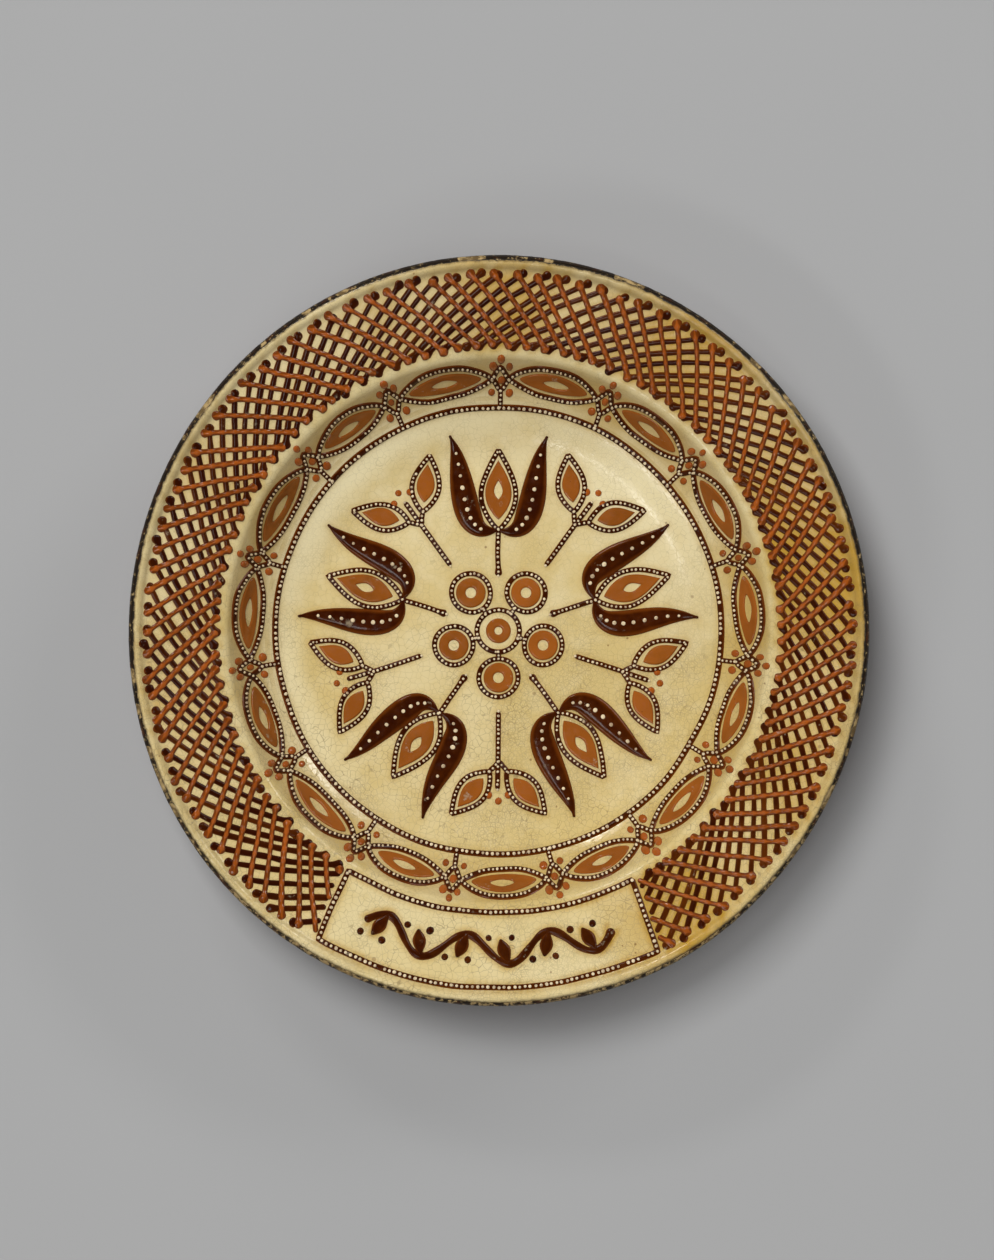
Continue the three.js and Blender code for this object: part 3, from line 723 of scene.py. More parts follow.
def gap_line(scene, side):
    """Bearings of a side line of the gap in the trellis, at its outer and inner edge."""
    panel = scene.slip_panel
    outer, inner = trellis_edges(scene)
    return (
        panel.bearing + side * (panel.outer_span / 2 + panel.clearance / outer),
        panel.bearing + side * (panel.inner_span / 2 + panel.clearance / inner),
    )


def trellis_family(scene, first, sweep, width, blob, rng):
    """The trails of one colour, each cut off at the gap and ending in blobs elsewhere."""
    trellis = scene.slip_trellis
    outer, inner = trellis_edges(scene)
    left, right = gap_line(scene, 1), gap_line(scene, -1)
    run_in = outer - inner
    points, fewest_points = 76, 6
    trails = []
    for i in range(int(2 * math.pi / trellis.pitch) + 8):
        start = first + i * trellis.pitch + rng.normal(0, 0.003)
        own_sweep = sweep * (1 + rng.normal(0, 0.014))
        bow = trellis.bow + rng.normal(0, 0.014)
        before_t = (trellis.overrun + rng.normal(0, 0.0007)) / run_in
        after_t = rng.normal(0, 0.0006) / run_in
        t = np.linspace(-before_t, 1 + after_t, points)
        bearing = start + own_sweep * (t - bow * np.sin(math.pi * t))
        past_left = bearing - (left[0] + (left[1] - left[0]) * t)
        past_right = 2 * math.pi + right[0] + (right[1] - right[0]) * t - bearing
        free = (past_left > 0) & (past_right > 0)
        if free.sum() < fewest_points:
            continue
        line = wavering(at(bearing, outer - run_in * t), rng, 0.00028, 0.014)[free]
        run, total = along(line)
        own = width * (1 + rng.normal(0, 0.06))
        half = own / 2 * (1 + uneven(run, rng, 0.05, 0.0045))
        swell = (blob / 2) * rng.uniform(0.86, 1.1, 2) - own / 2
        for end, distance in enumerate((run, total - run)):
            if free[-1 if end else 0]:
                half = half + swell[end] * (1 - smoothstep(distance, 0.0022, 0.0062))
        level = 0.8 + 0.2 * half / half.min() + uneven(run, rng, 0.05, 0.006)
        trails.append(Trail(line, half, trellis.rise * level, stroke=rng.uniform()))
    return trails


def tree_of(lines):
    """A search tree over the points of plan lines."""
    points = np.vstack(lines)
    tree = KDTree(len(points))
    for i, (x, y) in enumerate(points):
        tree.insert((x, y, 0), i)
    tree.balance()
    return tree


def trellis_trails(scene):
    """The orange and the dark trails, the orange ones raised where they cross the dark."""
    trellis = scene.slip_trellis
    rng = np.random.default_rng(7)
    start = gap_line(scene, 1)[0] - trellis.orange_sweep
    families = []
    for first, sweep, width, blob in (
        (start, trellis.orange_sweep, trellis.orange_width, trellis.orange_blob),
        (start + trellis.dark_start, -trellis.dark_sweep, trellis.dark_width, trellis.dark_blob),
    ):
        families.append(trellis_family(scene, first, sweep, width, blob, rng))
    orange, dark = families
    tree = tree_of([trail.line for trail in dark])
    reach, bulge = 0.0014, 0.06
    for trail in orange:
        near = np.array([tree.find((*point, 0))[2] for point in trail.line])
        crossing = np.exp(-((near / reach) ** 2))
        trail.over = trellis.lift_over * crossing
        trail.half = trail.half * (1.0 + bulge * crossing)
    return orange, dark


def panel_frame(scene):
    """The closed trail round the panel."""
    body, panel = scene.slip_body, scene.slip_panel
    from_lip = 0.0015
    outer = body.rim_radius - 2 * body.lip_radius - from_lip - panel.frame_width / 2
    inner = body.well_radius + body.shoulder_round + panel.frame_width / 2
    corners = [
        (panel.bearing - panel.outer_span / 2, outer),
        (panel.bearing + panel.outer_span / 2, outer),
        (panel.bearing + panel.inner_span / 2, inner),
        (panel.bearing - panel.inner_span / 2, inner),
    ]
    sides = []
    t = np.linspace(0, 1, 60, endpoint=False)
    for (bearing, radius), (next_bearing, next_radius) in zip(corners, corners[1:] + corners[:1]):
        sides.append(at(bearing + (next_bearing - bearing) * t, radius + (next_radius - radius) * t))
    line = wavering(np.vstack(sides), np.random.default_rng(3), closed=True)
    return Trail(line, panel.frame_width / 2, FRAME_RISE, closed=True)


def vine_crests(scene):
    """The middle line of the vine, and the side and the bearing of each of its crests."""
    panel = scene.slip_panel
    count = 2 * panel.vine_waves
    crests = []
    for crest in range(count):
        bearing = panel.bearing + panel.vine_span * ((crest + 0.5) / count - 0.5)
        crests.append((-1 if crest % 2 else 1, bearing))
    return sum(trellis_edges(scene)) / 2, crests


def vine_trails(scene):
    """The wave of the vine and its leaves."""
    panel = scene.slip_panel
    rng = np.random.default_rng(5)
    middle, crests = vine_crests(scene)
    t = np.linspace(0, 1, 260)
    swing = panel.vine_swing * np.sin(2 * math.pi * panel.vine_waves * t)
    wave = at(panel.bearing + panel.vine_span * (t - 0.5), middle + swing)
    ends = 1 + 0.35 * (np.exp(-((t / 0.012) ** 2)) + np.exp(-(((1 - t) / 0.012) ** 2)))
    pulse = 1 + 0.10 * np.sin(37 * t) + 0.07 * np.sin(91 * t + 1)
    trails = [Trail(wavering(wave, rng), panel.vine_width / 2 * ends * pulse, panel.rise)]
    share = np.linspace(0, 1, 30)
    belly = np.sin(math.pi * share**1.15) ** 1.2
    half = THINNEST_LEAF + (panel.leaf_width / 2 - THINNEST_LEAF) * belly
    for side, bearing in crests:
        level = middle + side * panel.vine_swing * (1 - 1.7 * share)
        line = at(bearing + panel.leaf_lean * share, level)
        trails.append(Trail(line, half, panel.rise * 1.1, bulge=2.6))
    return trails


def vine_drops(scene):
    """Places of the dark drops beside the tips of the vine's leaves."""
    panel = scene.slip_panel
    middle, crests = vine_crests(scene)
    towards_tip, beside = 0.78, 0.0068
    places = []
    for side, bearing in crests:
        radius = middle - side * panel.vine_swing * towards_tip
        for turn in (-1, 1):
            places.append((bearing + panel.leaf_lean + turn * beside / radius, radius))
    return at(*np.array(places).T)


def chain_radii(scene):
    """Middle line and ring of the leaf chain."""
    chain = scene.slip_chain
    outer = scene.slip_body.well_radius - chain.margin
    inner = outer - chain.height
    return (outer + inner) / 2, inner - chain.ring_drop


def knot_spans():
    """Each knot's bearing and the next one's."""
    return list(zip(KNOTS, np.append(KNOTS[1:], KNOTS[0] + 2 * math.pi)))


def chain_trails(scene):
    """The ring, the two strands and the stems of the leaf chain."""
    chain = scene.slip_chain
    rng = np.random.default_rng(11)
    middle, ring = chain_radii(scene)
    ring_line = wavering(at(around(720), ring), rng, 0.0003, 0.03, closed=True)
    knot_angle = chain.knot_reach / middle
    trails = [Trail(ring_line, chain.ring_width / 2, RING_RISE, closed=True)]
    shares = ((-0.75, 0.52), (-0.4, 0.9), (0, 1.0), (0.4, 0.9), (0.75, 0.52))
    for side in (1, -1):
        control = []
        for knot, next_knot in knot_spans():
            centre = (knot + next_knot) / 2
            reach = (next_knot - knot) / 2 - knot_angle
            control.append((knot, middle - side * chain.knot_height / 2))
            control.append((knot + knot_angle, middle))
            for share, level in shares:
                control.append((centre + share * reach, middle + side * chain.height * level / 2))
            control.append((next_knot - knot_angle, middle))
        line = wavering(curved(at(*np.array(control).T), 8), rng, 0.00022, 0.016, closed=True)
        trails.append(Trail(line, chain.width / 2, chain.rise, closed=True))
    for knot in KNOTS:
        lean = rng.normal(0, 0.004)
        radius = np.linspace(ring, middle - chain.knot_height / 2, 12)
        line = at(knot + lean * np.linspace(1, 0, 12), radius)
        trails.append(Trail(line, chain.width / 2 * 0.95, chain.rise))
    return trails


def chain_berries(scene):
    """Places of the orange berries in and round every diamond."""
    chain = scene.slip_chain
    rng = np.random.default_rng(13)
    middle, _ = chain_radii(scene)
    top = middle + chain.knot_height / 2
    bottom = middle - chain.knot_height / 2
    above, beside_top, beside_bottom = 0.0042, 0.0047, 0.0052
    places = []
    for knot in KNOTS:
        places.append((knot, middle))
        places.append((knot, top + above))
        places += [(knot + side * beside_top / top, top + 0.0002) for side in (-1, 1)]
        places += [(knot + side * beside_bottom / bottom, bottom - 0.0016) for side in (-1, 1)]
    wander = [0.0018, 0.0003]
    places = np.array(places) + rng.normal(0, 1, (len(places), 2)) * wander
    return at(*places.T)


def leaf_lines(scene, leaf):
    """The outline and the window of one orange leaf of the chain."""
    chain = scene.slip_chain
    middle, _ = chain_radii(scene)
    rng = np.random.default_rng(100 + leaf)
    knot, next_knot = knot_spans()[leaf]
    inset = (chain.knot_reach + chain.tip_gap) / middle
    start, end = knot + inset, next_knot - inset
    room = chain.height / 2 - chain.width / 2 - chain.pad_gap

    def lens(share, wide, shift=0.0, power=0.9):
        turn = around(72)
        run = np.cos(turn) * share
        side = np.sign(np.sin(turn)) * np.abs(np.sin(turn)) ** power
        side = side * (1 - 0.22 * np.abs(run / share) ** 1.5)
        centre = (start + end) / 2 + shift
        return at(centre + run * (end - start) / 2, middle + side * wide)

    outline = wavering(lens(1.0, room, power=1.15), rng, 0.00018, closed=True)
    shift = rng.normal(0, 0.004)
    return outline, lens(chain.window * rng.uniform(0.9, 1.1), room * 0.36, shift)


def round_shape(u):
    """Half width of a round petal along it."""
    return np.sqrt(np.clip(4 * u * (1 - u), 0, 1))


def almond_shape(u):
    """Half width of a pointed petal along it."""
    return np.sin(math.pi * np.clip(u, 0, 1) ** 0.85)


@dataclass
class Petal:
    """A petal of the wheel, at the end of a stalk that may turn off its spoke."""

    bearing: float
    start: float
    length: float
    width: float
    shape: object = almond_shape
    turn: float = 0.0
    stalk: float = 0.0

    def points(self, run, side):
        """Plan points, run along the petal and side across it."""
        turned = self.bearing + self.turn
        root = at(self.bearing, self.start) + at(turned, self.stalk)
        run, side = np.broadcast_arrays(run, side)
        forward, sideways = at(turned, 1.0), at(turned + math.pi / 2, 1.0)
        return root + run[..., None] * forward + side[..., None] * sideways

    def outline(self, inset=0.0, tip_inset=None, share=1.0):
        """The closed line of the petal, or one inside it."""
        turn = around(96)
        u = (1 - np.cos(turn)) / 2
        tip = inset if tip_inset is None else tip_inset
        run = tip + (self.length - 2 * tip) * (0.5 + (u - 0.5) * share)
        side = np.sign(math.pi - turn) * (self.width / 2 - inset) * share * self.shape(u)
        return self.points(run, side)

    def pad(self, inset):
        """The outline of the pad inside the petal, further off where the petal is pointed."""
        sharp = self.length / self.width if self.shape is almond_shape else 1.0
        return self.outline(inset, inset * max(1.0, sharp))


def spoke_bearing(wheel, spoke):
    """The bearing of a tulip, or of a sprig when given half a spoke more."""
    return 2 * math.pi * spoke / wheel.spokes


def rosette_petal(wheel, spoke):
    """A round petal of the rosette."""
    bearing = spoke_bearing(wheel, spoke + 0.5)
    length, width = wheel.petal_length, wheel.petal_width
    return Petal(bearing, wheel.hub_ring, length, width, round_shape, stalk=wheel.petal_stalk)


def tulip_heart(wheel, spoke):
    """The heart of a tulip."""
    start = wheel.hub_ring + wheel.stem_start + wheel.stem_length
    return Petal(spoke_bearing(wheel, spoke), start, wheel.heart_length, wheel.heart_width)


def sprig_leaf(wheel, spoke, side):
    """A leaf of a sprig."""
    leaf = Petal(
        spoke_bearing(wheel, spoke + 0.5),
        wheel.sprig_start + wheel.sprig_stem,
        wheel.leaf_length,
        wheel.leaf_width,
    )
    leaf.turn = side * wheel.leaf_opening
    leaf.stalk = wheel.sprig_stalk
    return leaf


def outline_trail(wheel, line, rng, closed=True):
    """An outline of the wheel as a trail."""
    line = wavering(line, rng, 0.00022, 0.016, closed)
    return Trail(line, wheel.outline_width / 2, wheel.outline_rise, closed)


def rosette_trails(wheel):
    """The ring, the short stalks and the petals of the rosette."""
    rng = np.random.default_rng(17)
    trails = [outline_trail(wheel, at(around(90), wheel.hub_ring), rng)]
    reach = np.linspace(wheel.hub_ring, wheel.hub_ring + wheel.petal_stalk, 6)
    for spoke in range(wheel.spokes):
        petal = rosette_petal(wheel, spoke)
        trails.append(outline_trail(wheel, at(petal.bearing, reach), rng, closed=False))
        trails.append(outline_trail(wheel, petal.outline(), rng))
    return trails


def tulip_trails(wheel, spoke):
    """The heart, stem and two broad side petals of a tulip. The broad ones come last."""
    rng = np.random.default_rng(200 + spoke)
    heart = tulip_heart(wheel, spoke)
    trails = [outline_trail(wheel, heart.outline(), rng)]
    stem = heart.points(np.linspace(-wheel.stem_length, 0, 20), 0.0)
    stalk = outline_trail(wheel, stem, rng, closed=False)
    foot = np.exp(-((np.linspace(0, 1, len(stem)) / 0.12) ** 2))
    stalk.half = wheel.outline_width / 2 * (1 + 0.7 * foot)
    trails.append(stalk)
    t = np.linspace(0, 1, 60)[:, None]
    share = t[:, 0]
    half = wheel.side_width / 2 * np.sin(math.pi * share**0.9).clip(0) ** 0.9
    rise = wheel.outline_rise * (1 + 0.25 * np.sin(math.pi * share))
    for side in (-1, 1):
        reach, spread = wheel.side_reach, side * wheel.side_spread
        a, b = np.array([-0.12 * reach, 0.9 * spread]), np.array([0.6 * reach, 0.6 * spread])
        spine = 3 * t * (1 - t) ** 2 * a + 3 * t**2 * (1 - t) * b + t**3 * [reach, spread]
        line = wavering(heart.points(spine[:, 0], spine[:, 1]), rng)
        trails.append(Trail(line, np.maximum(half, THINNEST_PETAL), rise, bulge=3.4, broad=True))
    return trails


def sprig_trails(wheel, spoke):
    """The stem and the two outlined leaves of a sprig."""
    rng = np.random.default_rng(300 + spoke)
    top = wheel.sprig_start + wheel.sprig_stem + wheel.sprig_tip
    stem = at(spoke_bearing(wheel, spoke + 0.5), np.linspace(wheel.sprig_start, top, 24))
    trails = [outline_trail(wheel, stem, rng, closed=False)]
    for side in (-1, 1):
        leaf = sprig_leaf(wheel, spoke, side)
        stalk = leaf.points(np.linspace(-wheel.sprig_stalk, 0, 8), 0.0)
        trails.append(outline_trail(wheel, stalk, rng, closed=False))
        trails.append(outline_trail(wheel, leaf.outline(), rng))
    return trails


def drawn_sides(scene):
    """The plan lines of both sides of every dark trail on the dish, for the stains beside them."""
    wheel = scene.slip_wheel
    _, dark = trellis_trails(scene)
    trails = dark + chain_trails(scene) + rosette_trails(wheel) + vine_trails(scene)
    trails.append(panel_frame(scene))
    for spoke in range(wheel.spokes):
        trails += tulip_trails(wheel, spoke) + sprig_trails(wheel, spoke)
    sides = []
    for trail in trails:
        half = np.broadcast_to(trail.half, len(trail.line))[:, None]
        across = to_the_right(np.gradient(trail.line, axis=0)) * half
        sides += [trail.line + across, trail.line - across]
    return sides


# Node making


class Nodes:
    """Adds nodes to a tree, each fed with values or with the sockets of other nodes."""

    def __init__(self, tree, place=None):
        self.tree = tree
        self.place = place

    def feed(self, socket, value):
        """Links a socket to another or sets its value, which may be a colour of three numbers."""
        if isinstance(value, bpy.types.NodeSocket):
            self.tree.links.new(value, socket)
        elif socket.type == "RGBA":
            socket.default_value = (*value, 1.0)[:4]
        else:
            socket.default_value = value

    def add(self, kind, inputs=None, **settings):
        """Adds a node of that kind."""
        node = self.tree.nodes.new("ShaderNode" + kind)
        for name, value in settings.items():
            setattr(node, name, value)
        for name, value in (inputs or {}).items():
            self.feed(node.inputs[name], value)
        return node

    def calc(self, operation, *values):
        """The result of a sum on one to three values."""
        return self.add("Math", dict(enumerate(values)), operation=operation).outputs[0]

    def times(self, value, *factors):
        """A value times some factors."""
        for factor in factors:
            value = self.calc("MULTIPLY", value, factor)
        return value

    def plus(self, value, more):
        """The sum of two values."""
        return self.calc("ADD", value, more)

    def scaled(self, value, factor, start):
        """A value times a factor, added to a start."""
        return self.calc("MULTIPLY_ADD", value, factor, start)

    def vector(self, operation, inputs):
        """The result of a sum on vectors."""
        return self.add("VectorMath", inputs, operation=operation).outputs[0]

    def fade(self, value, low, high, to_low=0.0, to_high=1.0):
        """A value carried smoothly from one range to another."""
        inputs = {"Value": value, 1: low, 2: high, 3: to_low, 4: to_high}
        return self.add("MapRange", inputs, interpolation_type="SMOOTHSTEP").outputs["Result"]

    def blend(self, share, a, b):
        """Two colours mixed by a share."""
        return self.add("Mix", {0: share, 6: a, 7: b}, data_type="RGBA").outputs[2]

    def noise(self, scale, detail=3.0, roughness=0.55, place=None):
        """Cloudy variation from 0 to 1."""
        inputs = {"Scale": scale, "Detail": detail, "Roughness": roughness}
        inputs["Vector"] = self.place if place is None else place
        return self.add("TexNoise", inputs).outputs["Fac"]

    def mark(self, name):
        """A value painted on the points of the mesh."""
        return self.add("Attribute", attribute_name=name).outputs["Fac"]

    def axis(self, name):
        """How far each place is along an axis."""
        return self.add("SeparateXYZ", {"Vector": self.place}).outputs[name]

    def use(self, name, **inputs):
        """What a shared group puts out. It is made the first time it is asked for."""
        shared = bpy.data.node_groups.get(name) or make_group(name)
        return self.add("Group", {"Place": self.place, **inputs}, node_tree=shared).outputs

    def shade(self, colour, rough, sheen=0.5, relief=None):
        """Feeds the shader. The relief is a height, its distance in metres and its strength."""
        inputs = {"Base Color": colour, "Roughness": rough, "Specular IOR Level": sheen}
        if relief:
            height, distance, strength = relief
            bump = {"Height": height, "Distance": distance, "Strength": strength}
            inputs["Normal"] = self.add("Bump", bump).outputs[0]
        for name, value in inputs.items():
            self.feed(self.tree.nodes["Principled BSDF"].inputs[name], value)


# Shared effects


def crackle(nodes, inside):
    """The fine net of cracks in the glaze, which a coarse and a finer net make up."""
    warp = nodes.add("TexNoise", {"Vector": nodes.place, "Scale": 90.0, "Detail": 2.0})
    shift = nodes.vector("SUBTRACT", {0: warp.outputs["Color"], 1: (0.5, 0.5, 0.5)})
    small = nodes.vector("SCALE", {0: shift, "Scale": 0.005})
    bent = nodes.vector("ADD", {0: nodes.place, 1: small})
    lines = []
    for times in (1.0, 2.3):
        cells = nodes.times(inside["Cells"], times)
        inputs = {"Vector": bent, "Scale": cells, "Randomness": 0.85}
        net = nodes.add("TexVoronoi", inputs, feature="DISTANCE_TO_EDGE")
        width = nodes.times(inside["Breadth"], times)
        lines.append(nodes.fade(net.outputs["Distance"], 0.0, width, 1.0, 0.0))
    coarse, fine = lines
    patch = nodes.fade(nodes.noise(28.0, 2.0), 0.42, 0.62)
    both = nodes.calc("MAXIMUM", coarse, nodes.times(fine, patch, 0.6))
    strength = nodes.fade(nodes.noise(60.0), 0.3, 0.7, 0.35, 1.0)
    return {"Lines": nodes.times(both, strength, inside["Reach"])}


def iron_specks(nodes, inside):
    """Small round specks of iron, pits and dirt."""
    inputs = {"Vector": nodes.place, "Scale": inside["Cells"], "Randomness": 1.0}
    net = nodes.add("TexVoronoi", inputs)
    split = nodes.add("SeparateColor", {"Color": net.outputs["Color"]})
    chosen = nodes.calc("LESS_THAN", split.outputs[0], inside["Share"])
    size = nodes.scaled(split.outputs[1], 0.16, 0.07)
    spot = nodes.fade(nodes.calc("SUBTRACT", size, net.outputs["Distance"]), 0.0, 0.05)
    return {"Specks": nodes.times(spot, chosen)}


def trailed_slip(nodes, inside):
    """Slip whose colour drifts from stroke to stroke and thins to another colour at its edge.

    The same colour is painted shade where the side mark is raised in the dips of the orange trails.
    """
    cloud = nodes.noise(160.0, 4.0)
    edge = nodes.fade(inside["Side"], 0.55, 1.0)
    thin = nodes.scaled(edge, 0.55, nodes.times(cloud, 0.45))
    thin = nodes.scaled(inside["Stroke"], 0.32, thin)
    leant = nodes.scaled(nodes.axis("Y"), -0.6, nodes.axis("X"))
    leant = nodes.times(nodes.fade(leant, -0.02, 0.18), inside["Lean"])
    thin = nodes.fade(nodes.plus(thin, leant), 0.25, 0.95)
    colour = nodes.blend(thin, inside["Thick"], inside["Thin"])
    bright = nodes.fade(nodes.noise(35.0, 2.0), 0.3, 0.7, 0.88, 1.12)
    colour = nodes.vector("SCALE", {0: colour, "Scale": bright})
    specks = nodes.use("Iron specks", Cells=420.0, Share=0.05)["Specks"]
    colour = nodes.blend(nodes.times(specks, 0.5), colour, (0.02, 0.008, 0.004))
    crest = nodes.fade(inside["Side"], 0.35, 0.75, 1.0, 0.0)
    scuffed = nodes.times(crest, nodes.fade(nodes.noise(85.0, 5.0, 0.7), 0.62, 0.70))
    colour = nodes.blend(nodes.times(scuffed, 0.7), colour, inside["Worn"])
    rough = nodes.fade(nodes.noise(220.0), 0.35, 0.75, 0.06, 0.20)
    return {
        "Colour": colour,
        "Roughness": nodes.scaled(scuffed, 0.4, rough),
        "Height": nodes.scaled(nodes.noise(700.0), 0.35, cloud),
    }


def turning_rings(nodes, inside):
    """Fine rings left by turning on the wheel."""
    flat = nodes.add("CombineXYZ", {"X": nodes.axis("X"), "Y": nodes.axis("Y")})
    radius = nodes.add("VectorMath", {0: flat.outputs[0]}, operation="LENGTH").outputs["Value"]
    wobble = nodes.times(nodes.noise(12.0, 2.0), 0.0016)
    run = nodes.plus(nodes.plus(radius, nodes.axis("Z")), wobble)
    line = nodes.add("CombineXYZ", {"X": run}).outputs[0]
    return {"Height": nodes.noise(inside["Rings"], place=line)}


# Each shared group: its effect, and the kinds of what it takes and puts out
COLOUR, VALUE, VECTOR = "NodeSocketColor", "NodeSocketFloat", "NodeSocketVector"
GROUPS = {
    "Glaze crackle": (
        crackle,
        {"Place": VECTOR, "Cells": VALUE, "Breadth": VALUE, "Reach": VALUE},
        {"Lines": VALUE},
    ),
    "Iron specks": (
        iron_specks,
        {"Place": VECTOR, "Cells": VALUE, "Share": VALUE},
        {"Specks": VALUE},
    ),
    "Trailed slip": (
        trailed_slip,
        {
            "Place": VECTOR,
            "Thick": COLOUR,
            "Thin": COLOUR,
            "Worn": COLOUR,
            "Side": VALUE,
            "Stroke": VALUE,
            "Lean": VALUE,
        },
        {"Colour": COLOUR, "Roughness": VALUE, "Height": VALUE},
    ),
    "Turning rings": (turning_rings, {"Place": VECTOR, "Rings": VALUE}, {"Height": VALUE}),
}


def make_group(name):
    """A shared group with named sockets."""
    effect, taken, given = GROUPS[name]
    tree = bpy.data.node_groups.new(name, "ShaderNodeTree")
    for in_out, sockets in (("INPUT", taken), ("OUTPUT", given)):
        for label, kind in sockets.items():
            tree.interface.new_socket(label, in_out=in_out, socket_type=kind)
    inside = tree.nodes.new("NodeGroupInput").outputs
    outside = tree.nodes.new("NodeGroupOutput").inputs
    nodes = Nodes(tree, inside["Place"])
    for label, value in effect(nodes, inside).items():
        nodes.feed(outside[label], value)
    return tree


# Finishes


def chips(nodes, colours, first, full, bare_to):
    """Where the lip is chipped, and the colour of the chips."""
    broken = nodes.scaled(nodes.noise(420.0), 0.9, nodes.mark("chip"))
    tone = nodes.fade(nodes.noise(260.0), 0.4, bare_to)
    return nodes.fade(broken, first, full), nodes.blend(tone, colours.grime, colours.buff)


def cream_slip(nodes, colours):
    """Cream slip under honey-toned glaze: mottled, stained amber beside the trails and crazed."""
    cloud, streak = nodes.noise(22.0, 4.0), nodes.noise(75.0, 4.0)
    tone = nodes.fade(nodes.scaled(streak, 0.35, nodes.times(cloud, 0.65)), 0.36, 0.66)
    upwards = nodes.axis("Y")
    tone = nodes.plus(tone, nodes.fade(upwards, -0.16, 0.16, 0.3, -0.25))
    colour = nodes.blend(tone, colours.cream, colours.straw)
    # Painted light and sheen: the pale mark makes the cream paler at the wall's foot, on the flange
    # and on the floor's upper right
    colour = nodes.blend(nodes.mark("pale"), colour, colours.pale)
    stain = nodes.times(nodes.mark("stain"), nodes.fade(streak, 0.25, 0.7, 0.55, 1.15), 0.85)
    colour = nodes.blend(stain, colour, colours.amber)
    pool = nodes.times(nodes.mark("pool"), nodes.fade(cloud, 0.3, 0.62, 0.5, 1.0), 0.9)
    colour = nodes.blend(pool, colour, colours.amber)
    smears = nodes.fade(nodes.noise(95.0, 4.0), 0.3, 0.62, 0.45, 1.3)
    colour = nodes.blend(nodes.times(nodes.mark("grimy"), smears), colour, colours.olive)
    net = nodes.use("Glaze crackle", Cells=290.0, Breadth=0.052, Reach=nodes.mark("crazed"))
    lines = net["Lines"]
    colour = nodes.blend(nodes.times(lines, 0.64), colour, colours.grime)
    for cells, share, strength in ((260.0, 0.045, 0.55), (95.0, 0.035, 0.4)):
        specks = nodes.use("Iron specks", Cells=cells, Share=share)["Specks"]
        colour = nodes.blend(nodes.times(specks, strength), colour, colours.dark_thin)
    ragged = nodes.scaled(nodes.noise(250.0, 4.0, 0.65), 0.9, nodes.mark("edge"))
    ragged = nodes.scaled(nodes.noise(40.0), 0.5, ragged)
    ragged = nodes.plus(ragged, nodes.fade(upwards, -0.2, 0.02, -0.22, 0.0))
    fringe = nodes.fade(ragged, 1.07, 1.47)
    colour = nodes.blend(nodes.times(fringe, 0.7), colour, colours.grime)
    gone = nodes.fade(ragged, 1.46, 1.54)
    scuffs = nodes.fade(nodes.noise(340.0, 4.0, 0.7), 0.56, 0.66, 0.0, 0.75)
    colour = nodes.blend(gone, colour, nodes.blend(scuffs, colours.edge, colours.buff))
    chipped, bare = chips(nodes, colours, 0.9, 1.1, 0.6)
    colour = nodes.blend(chipped, colour, bare)
    rough = nodes.fade(streak, 0.35, 0.7, 0.10, 0.22)
    rough = nodes.scaled(nodes.calc("MAXIMUM", gone, chipped), 0.35, rough)
    rough = nodes.scaled(lines, 0.2, rough)
    rings = nodes.use("Turning rings", Rings=110.0)["Height"]
    height = nodes.scaled(lines, -0.5, nodes.times(streak, 0.9))
    height = nodes.scaled(rings, 0.5, height)
    nodes.shade(colour, rough, relief=(height, 0.0003, 0.6))


def trailing(nodes, colours, thick, thin, lean, sheen):
    """Trailed slip under an old glaze.

    Lean is how much thinner it is on one side of the dish, and sheen how strong its mirror is.
    """
    tones = {"Thick": getattr(colours, thick), "Thin": getattr(colours, thin)}
    marks = {"Side": nodes.mark("side"), "Stroke": nodes.mark("stroke")}
    slip = nodes.use("Trailed slip", Worn=colours.worn, Lean=lean, **tones, **marks)
    nodes.shade(slip["Colour"], slip["Roughness"], sheen, (slip["Height"], 0.00016, 0.6))


def jewelling(nodes, colours):
    """Pale jewelling, browner where the glaze gathers round its foot."""
    tone = nodes.scaled(nodes.mark("stroke"), 0.45, nodes.noise(500.0, 2.0))
    brown = nodes.fade(tone, 0.55, 1.15, 0.0, 0.6)
    foot = nodes.calc("MAXIMUM", nodes.fade(nodes.mark("side"), 0.45, 1.0, 0.0, 0.75), brown)
    colour = nodes.blend(foot, colours.dot, colours.dark_thin)
    rough = nodes.fade(nodes.noise(300.0, 2.0), 0.3, 0.7, 0.10, 0.25)
    nodes.shade(colour, rough, relief=(nodes.noise(900.0, 2.0), 0.00006, 0.5))


